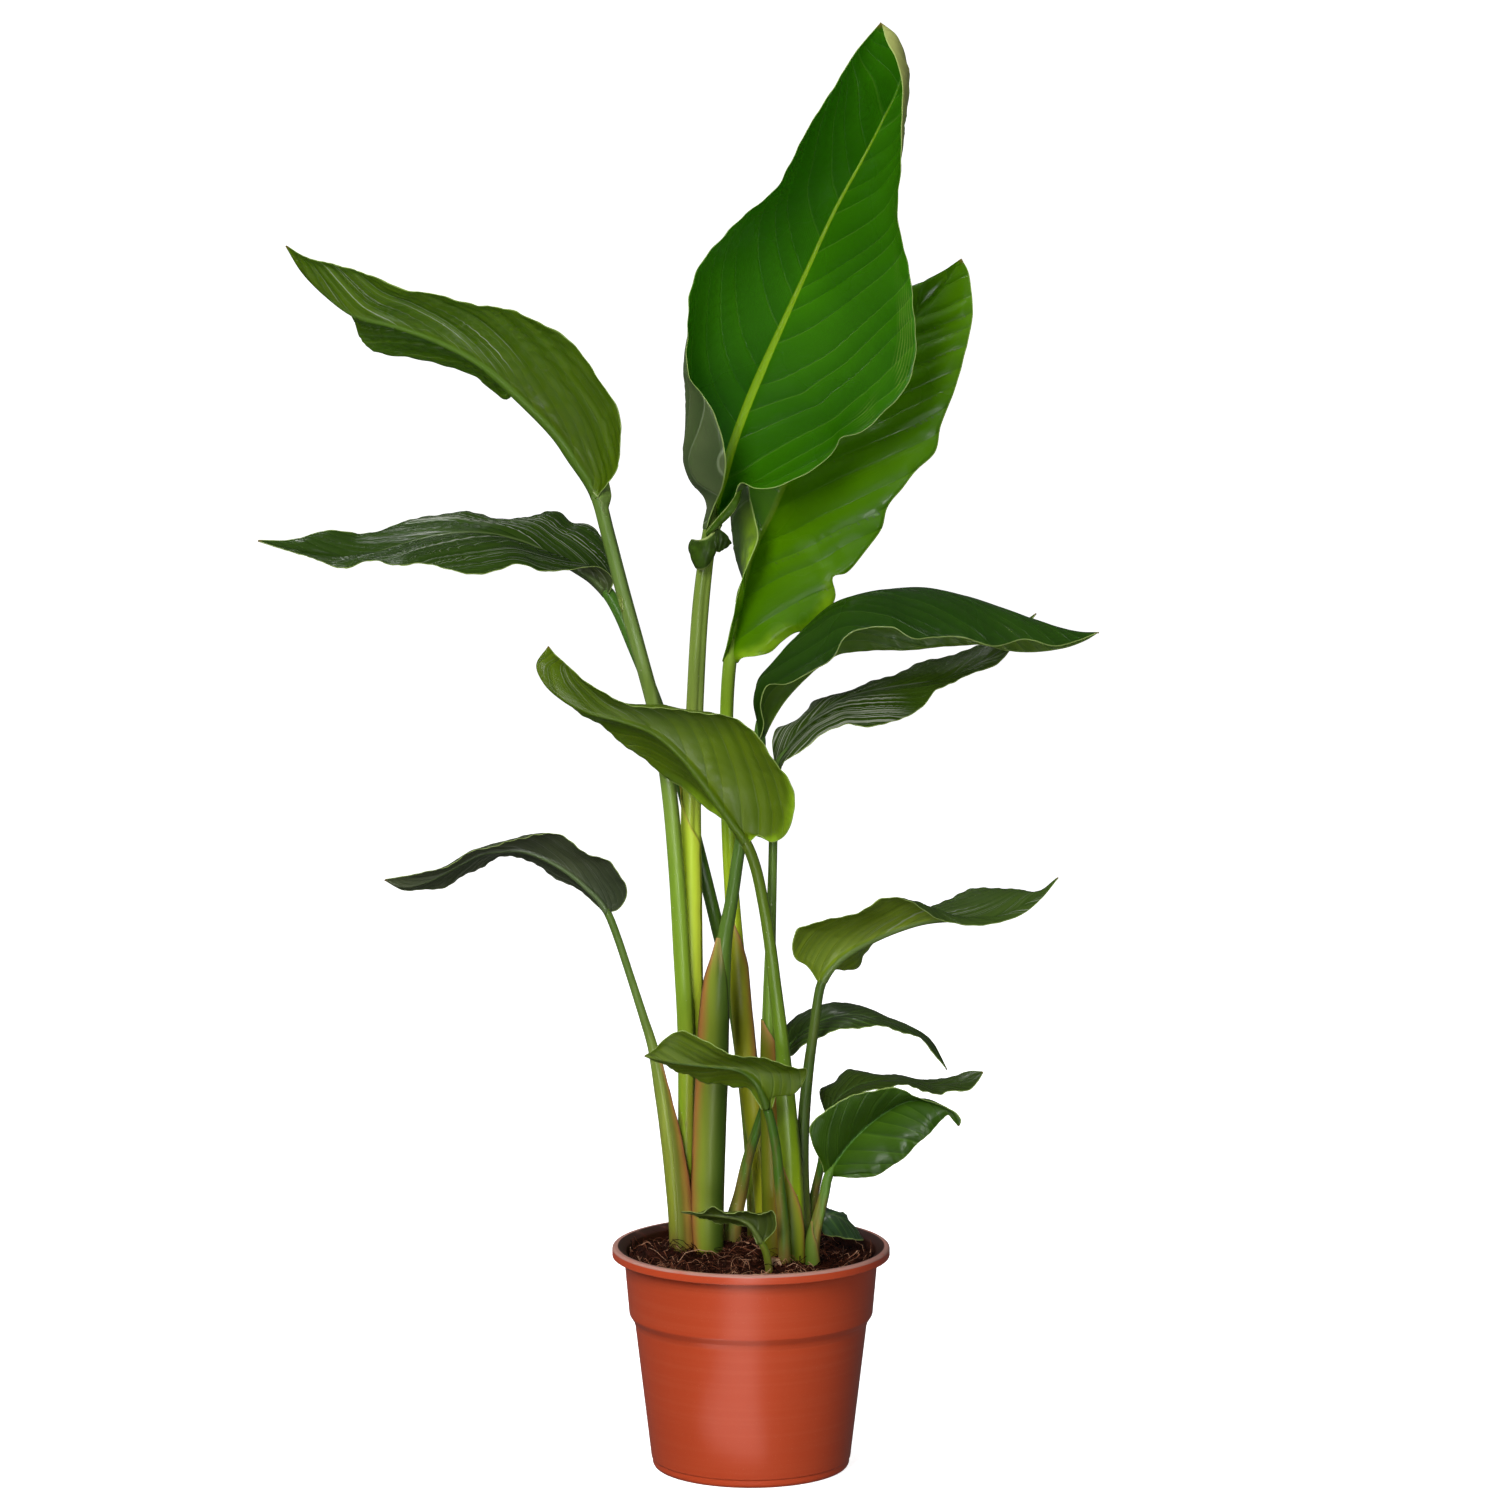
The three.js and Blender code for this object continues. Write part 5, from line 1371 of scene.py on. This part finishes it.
def add_crumbs(lumps, edge):
    """Small broken lumps of coir and bark on the surface, in one mesh"""
    rng = np.random.default_rng(CRUMB_SEED)
    ball = bmesh.new()
    bmesh.ops.create_icosphere(ball, subdivisions=1, radius=1)
    shape = np.array([v.co for v in ball.verts])
    triangles = np.array([[v.index for v in f.verts] for f in ball.faces])
    ball.free()
    points, faces, shades = [], [], []
    for _ in range(CRUMBS):
        turn = rng.random() * FULL_TURN
        radius = (edge - 2) * math.sqrt(rng.random())
        size = SMALLEST_CRUMB + (LARGEST_CRUMB - SMALLEST_CRUMB) * rng.random() ** 3
        x, y = radius * math.cos(turn), radius * math.sin(turn)
        stretch = rng.uniform(0.6, 1.3, 3) * size
        bumpy = shape * stretch * rng.uniform(0.75, 1.2, (len(shape), 1))
        faces += (triangles + len(points) * len(shape)).tolist()
        points.append(bumpy + (x, y, soil_surface(x, y, lumps) + size * 0.25))
        shades.append(np.full(len(shape), rng.random()))
    values = {"shade": np.concatenate(shades)}
    piece_from("soil_crumbs", np.concatenate(points), faces, crumb_material(), values)


def crumb_material():
    """Dark bits of coir and bark, each of its own shade"""
    m = Material("crumbs", 0.9, specular=0.15)
    m.tone = m.ramp(m.attribute("shade"), [(14, 6, 4), (38, 18, 12), (70, 36, 24), (44, 20, 14)])
    m.tint(1.0 - m.noise(900, 3), (0.6, 0.6, 0.6))
    m.bump(m.noise(1500, 3), 0.0005, 0.7)
    return m


def fibre_line(rng, lumps, edge):
    """The line of a fibre that lies in a low arc or rises along the wall, and the fibre's radius. The line is
    None where the fibre would run into the wall."""
    share = np.linspace(0, 1, FIBRE_STEPS)
    length = SHORTEST_FIBRE + (LONGEST_FIBRE - SHORTEST_FIBRE) * rng.random() ** 1.5
    thick = THINNEST_FIBRE + (THICKEST_FIBRE - THINNEST_FIBRE) * rng.random() ** 2
    turn = rng.random() * FULL_TURN
    radius = (edge - 3) * math.sqrt(rng.random())
    heading = rng.random() * FULL_TURN + np.cumsum(rng.normal(0, 0.25) + rng.normal(0, 0.12, FIBRE_STEPS))
    x = radius * math.cos(turn) + np.cumsum(np.cos(heading)) * length / FIBRE_STEPS
    y = radius * math.sin(turn) + np.cumsum(np.sin(heading)) * length / FIBRE_STEPS
    lift = abs(rng.normal(0, FIBRE_LIFT)) * np.sin(math.pi * share) ** 1.5
    if rng.random() < CLIMBING_SHARE:
        turns = turn + share * length / edge
        reach = edge - 0.8 - 3 * rng.random() * (1 - share)
        x, y = reach * np.cos(turns), reach * np.sin(turns)
        lift = CLIMB_HEIGHT * rng.random() * share
    if np.hypot(x, y).max() > edge - 0.5:
        return None, thick
    ground = np.array([soil_surface(px, py, lumps) for px, py in zip(x, y)])
    return np.stack([x, y, ground + 0.3 + lift], -1), thick


def fibre_points(line, thick):
    """Three points round each point of a fibre's line, closer in at its ends"""
    ring = np.array([(math.cos(corner), math.sin(corner)) for corner in FIBRE_CORNERS])
    taper = np.array([0.4] + [1] * (FIBRE_STEPS - 2) + [0.3])[:, None, None]
    along = unit(np.gradient(line, axis=0))
    side = unit(np.cross(along, (0, 0, 1)))
    up = np.cross(side, along)
    around = side[:, None] * ring[None, :, :1] + up[:, None] * ring[None, :, 1:]
    return (line[:, None] + thick * taper * around).reshape(-1, 3)


def add_fibres(lumps, edge):
    """Loose coir fibres on the soil, in one mesh"""
    rng = np.random.default_rng(FIBRE_SEED)
    tube = tube_faces(FIBRE_STEPS, len(FIBRE_CORNERS))
    points, faces, shades = [], [], []
    for _ in range(FIBRES):
        line, thick = fibre_line(rng, lumps, edge)
        if line is None:
            continue
        base = len(points) * FIBRE_STEPS * len(FIBRE_CORNERS)
        faces += [tuple(base + k for k in face) for face in tube]
        points.append(fibre_points(line, thick))
        shades.append(np.full(len(points[-1]), rng.random() ** 2.2))
    values = {"shade": np.concatenate(shades)}
    piece_from("coir_fibres", np.concatenate(points), faces, fibre_material(), values)


def fibre_material():
    """Coir fibres, each of its own shade from nearly black to straw"""
    m = Material("coir_fibres", 0.75, specular=0.25)
    m.tone = m.ramp(m.attribute("shade"), [(26, 10, 6), (72, 36, 24), (150, 92, 66), (232, 184, 150)])
    m.tint(1.0 - m.noise(400, 2), (0.6, 0.55, 0.5))
    return m


# Pot

def rounded(corners, radius):
    """The corners of a profile with each inner one turned into a short curve"""
    line = [corners[0]]
    for before, corner, after in zip(corners, corners[1:], corners[2:]):
        before, corner, after = (np.array(p, float) for p in (before, corner, after))
        back, ahead = before - corner, after - corner
        cut = min(radius, np.linalg.norm(back) * 0.45, np.linalg.norm(ahead) * 0.45)
        start = corner + back / np.linalg.norm(back) * cut
        end = corner + ahead / np.linalg.norm(ahead) * cut
        for t in (0, 0.25, 0.5, 0.75, 1):
            line.append(tuple(start * (1 - t) ** 2 + corner * 2 * t * (1 - t) + end * t ** 2))
    return line + [corners[-1]]


def pot_profile():
    """Radius and height up the outside of the pot, over its rim and down its inside"""
    lip_foot = POT_HEIGHT - LIP_DEPTH
    return rounded([
        (0, 0),
        (BASE_RADIUS - 1.2, 0),
        (BASE_RADIUS, 1.8),
        (BASE_RADIUS, BASE_STEP_HEIGHT),
        (BASE_RADIUS + BASE_STEP, BASE_STEP_HEIGHT + 0.5),
        (BODY_TOP_RADIUS, BODY_TOP_HEIGHT),
        (BODY_TOP_RADIUS + 1, BODY_TOP_HEIGHT + 3),
        (COLLAR_FOOT_RADIUS, COLLAR_FOOT_HEIGHT),
        (COLLAR_TOP_RADIUS, lip_foot + WALL * 2),
        (RIM_RADIUS - WALL, lip_foot + WALL * 2),
        (RIM_RADIUS - WALL, lip_foot),
        (RIM_RADIUS, lip_foot),
        (RIM_RADIUS, POT_HEIGHT - 1.0),
        (RIM_RADIUS - 1, POT_HEIGHT),
        (RIM_RADIUS - LIP_TOP_WIDTH + 0.6, POT_HEIGHT),
        (COLLAR_TOP_RADIUS - WALL, POT_HEIGHT - 3),
        (COLLAR_FOOT_RADIUS - WALL, COLLAR_FOOT_HEIGHT),
        (BODY_TOP_RADIUS - WALL, BODY_TOP_HEIGHT),
        (BASE_RADIUS - WALL, FLOOR_THICKNESS),
        (0, FLOOR_THICKNESS),
    ], CORNER_RADIUS)


def add_pot():
    """A thin-walled pot turned from its profile, with drain holes in its floor"""
    profile = pot_profile()[1:-1]
    points = np.concatenate([circle(radius, height, POT_SIDES) for radius, height in profile])
    heights = np.array([height for _, height in profile])
    on_rim = heights > POT_HEIGHT - WORN_RIM_DEPTH
    inner = np.arange(len(profile)) > np.flatnonzero(heights > POT_HEIGHT - 0.01).max()
    values = {"rim": np.repeat(on_rim, POT_SIDES), "inner": np.repeat(inner, POT_SIDES)}
    faces = tube_faces(len(profile), POT_SIDES)
    piece = piece_from("pot_fine", points, faces, pot_material(), values)
    drill(piece)
    piece.data.set_sharp_from_angle(angle=math.radians(SHARP_ANGLE))
    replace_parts(piece, "pot")


def drill(piece):
    """Cuts the ring of drain holes through the floor"""
    holes = bmesh.new()
    for i in range(DRAIN_HOLES):
        turn = (i + 0.5) / DRAIN_HOLES * FULL_TURN
        made = bmesh.ops.create_cone(
            holes, cap_ends=True, segments=DRAIN_SIDES, radius1=DRAIN_RADIUS * MM,
            radius2=DRAIN_RADIUS * MM, depth=FLOOR_THICKNESS * 4 * MM,
        )
        place = Vector((math.cos(turn), math.sin(turn), 0)) * DRAIN_RING_RADIUS * MM
        bmesh.ops.translate(holes, verts=made["verts"], vec=place)
    cutter = bpy.data.meshes.new("drain_cutter")
    holes.to_mesh(cutter)
    holes.free()
    tool = linked("drain_cutter", cutter)
    cut = piece.modifiers.new("drain", "BOOLEAN")
    cut.operation = "DIFFERENCE"
    cut.solver = "EXACT"
    cut.object = tool
    bpy.context.view_layer.update()
    done = bpy.data.meshes.new_from_object(piece.evaluated_get(bpy.context.evaluated_depsgraph_get()))
    piece.modifiers.clear()
    piece.data = done
    bpy.data.objects.remove(tool)


def pot_material():
    """Satin moulded plastic: faint flow marks, fine grain, a worn rim, and on the inner wall soil stains and
    painted shade
    """
    m = Material("terracotta_plastic", 0.36)
    inner = m.attribute("inner")
    cloud = m.noise(12, 4, stretch=(1, 1, 0.6))
    rings = m.noise(60, 3, stretch=(0.06, 0.06, 6))
    m.tone = m.mix(cloud, (175, 62, 29), (191, 73, 38))
    m.paint(rings.between(0.45, 0.7) * 0.08, (210, 112, 80))
    m.paint(m.noise(1400, 1).between(0.7, 0.76) * 0.2, (214, 140, 110))
    m.paint(m.attribute("rim") * m.noise(70, 4).between(0.1, 0.45), (172, 124, 112))
    # The inner wall darkened nearly to black: soil stains and painted shade inside the pot
    m.paint(inner * m.noise(90, 4).between(0.0, 0.4) * 0.97, (36, 17, 11))
    m.set("Roughness", cloud * 0.14 + inner * 0.3 + 0.28)
    m.bump(m.noise(2400, 2) * 0.25 + rings * 0.3, 0.00016, 0.6)
    return m


# Stage, camera and lights

def stage_sheet(name, points, faces, glow):
    """Part of the stage: a white sheet that shines, and doesn't light or shade the plant"""
    m = Material(name, 0.9, specular=0.1)
    m.tone = m.mix(m.noise(2, 2), (0.86, 0.86, 0.86, 1), (0.88, 0.88, 0.88, 1))
    m.set("Emission Color", (1, 1, 1, 1))
    m.set("Emission Strength", glow)
    mesh = bpy.data.meshes.new(name)
    mesh.from_pydata(points, [], faces)
    mesh.materials.append(m.done())
    sheet = linked(name, mesh)
    sheet.visible_diffuse = False
    sheet.visible_glossy = False
    sheet.visible_shadow = False
    return sheet


def add_stage():
    """A white floor and wall all round, and a bright patch of floor that only shows in the pot's gloss"""
    outline = ((0, 0), (FLOOR_RADIUS, 0), (WALL_RADIUS, 0), (WALL_RADIUS, WALL_HEIGHT))
    rings = [circle(radius, height, STAGE_SIDES) for radius, height in outline]
    stage_sheet("floor", np.concatenate(rings[:2]).tolist(), ring_faces(2, STAGE_SIDES), FLOOR_GLOW)
    stage_sheet("backdrop", np.concatenate(rings[1:]).tolist(), ring_faces(3, STAGE_SIDES), WALL_GLOW)
    corners = [(x, y, PATCH_HEIGHT) for y in PATCH_Y for x in PATCH_X]
    patch = stage_sheet("patch", corners, [(0, 1, 3, 2)], PATCH_GLOW)
    patch.visible_camera = False
    patch.visible_glossy = True


def add_camera():
    lens = bpy.data.cameras.new("camera")
    lens.lens = FOCAL_LENGTH
    lens.sensor_width = SENSOR
    lens.shift_x = SHIFT_X
    lens.shift_y = SHIFT_Y
    camera = linked("camera", lens)
    camera.location = (0, -EYE_DISTANCE * MM, EYE_HEIGHT * MM)
    camera.rotation_euler = (math.radians(90 - LOOK_DOWN), 0, 0)
    bpy.context.scene.camera = camera


def add_lights():
    for name, (place, target, size, power, in_gloss, on_surfaces) in LIGHTS.items():
        lamp = bpy.data.lights.new(name, "AREA")
        lamp.shape = "RECTANGLE"
        lamp.size, lamp.size_y = size
        lamp.energy = power
        light = linked(name, lamp)
        light.location = place
        light.rotation_euler = (Vector(target) - Vector(place)).to_track_quat("-Z", "Y").to_euler()
        light.visible_glossy = in_gloss
        light.visible_diffuse = on_surfaces
    world = bpy.data.worlds.new("studio")
    world.use_nodes = True
    sky = world.node_tree.nodes["Background"]
    sky.inputs["Color"].default_value = (1, 1, 1, 1)
    sky.inputs["Strength"].default_value = WORLD_GLOW
    bpy.context.scene.world = world
    bpy.context.scene.view_settings.view_transform = "Standard"


def add_leaves():
    for index, (name, leaf) in enumerate(LEAVES.items()):
        look = PLAIN_LOOK | LOOKS[name]
        surface = blade(name, leaf, look, phase=index)
        stalk(name, leaf, look, surface)


def add_sheaths():
    for index, (name, (leaf, flush, near, far, rows)) in enumerate(SHEATHS.items()):
        sheath(name, LEAVES[leaf], flush, near, far, rows, seed=index * 3.7)
    for name, values in SCRAPS.items():
        scrap(name, *values)


add_camera()
add_lights()
add_stage()
add_leaves()
add_sheaths()
add_soil()
add_pot()
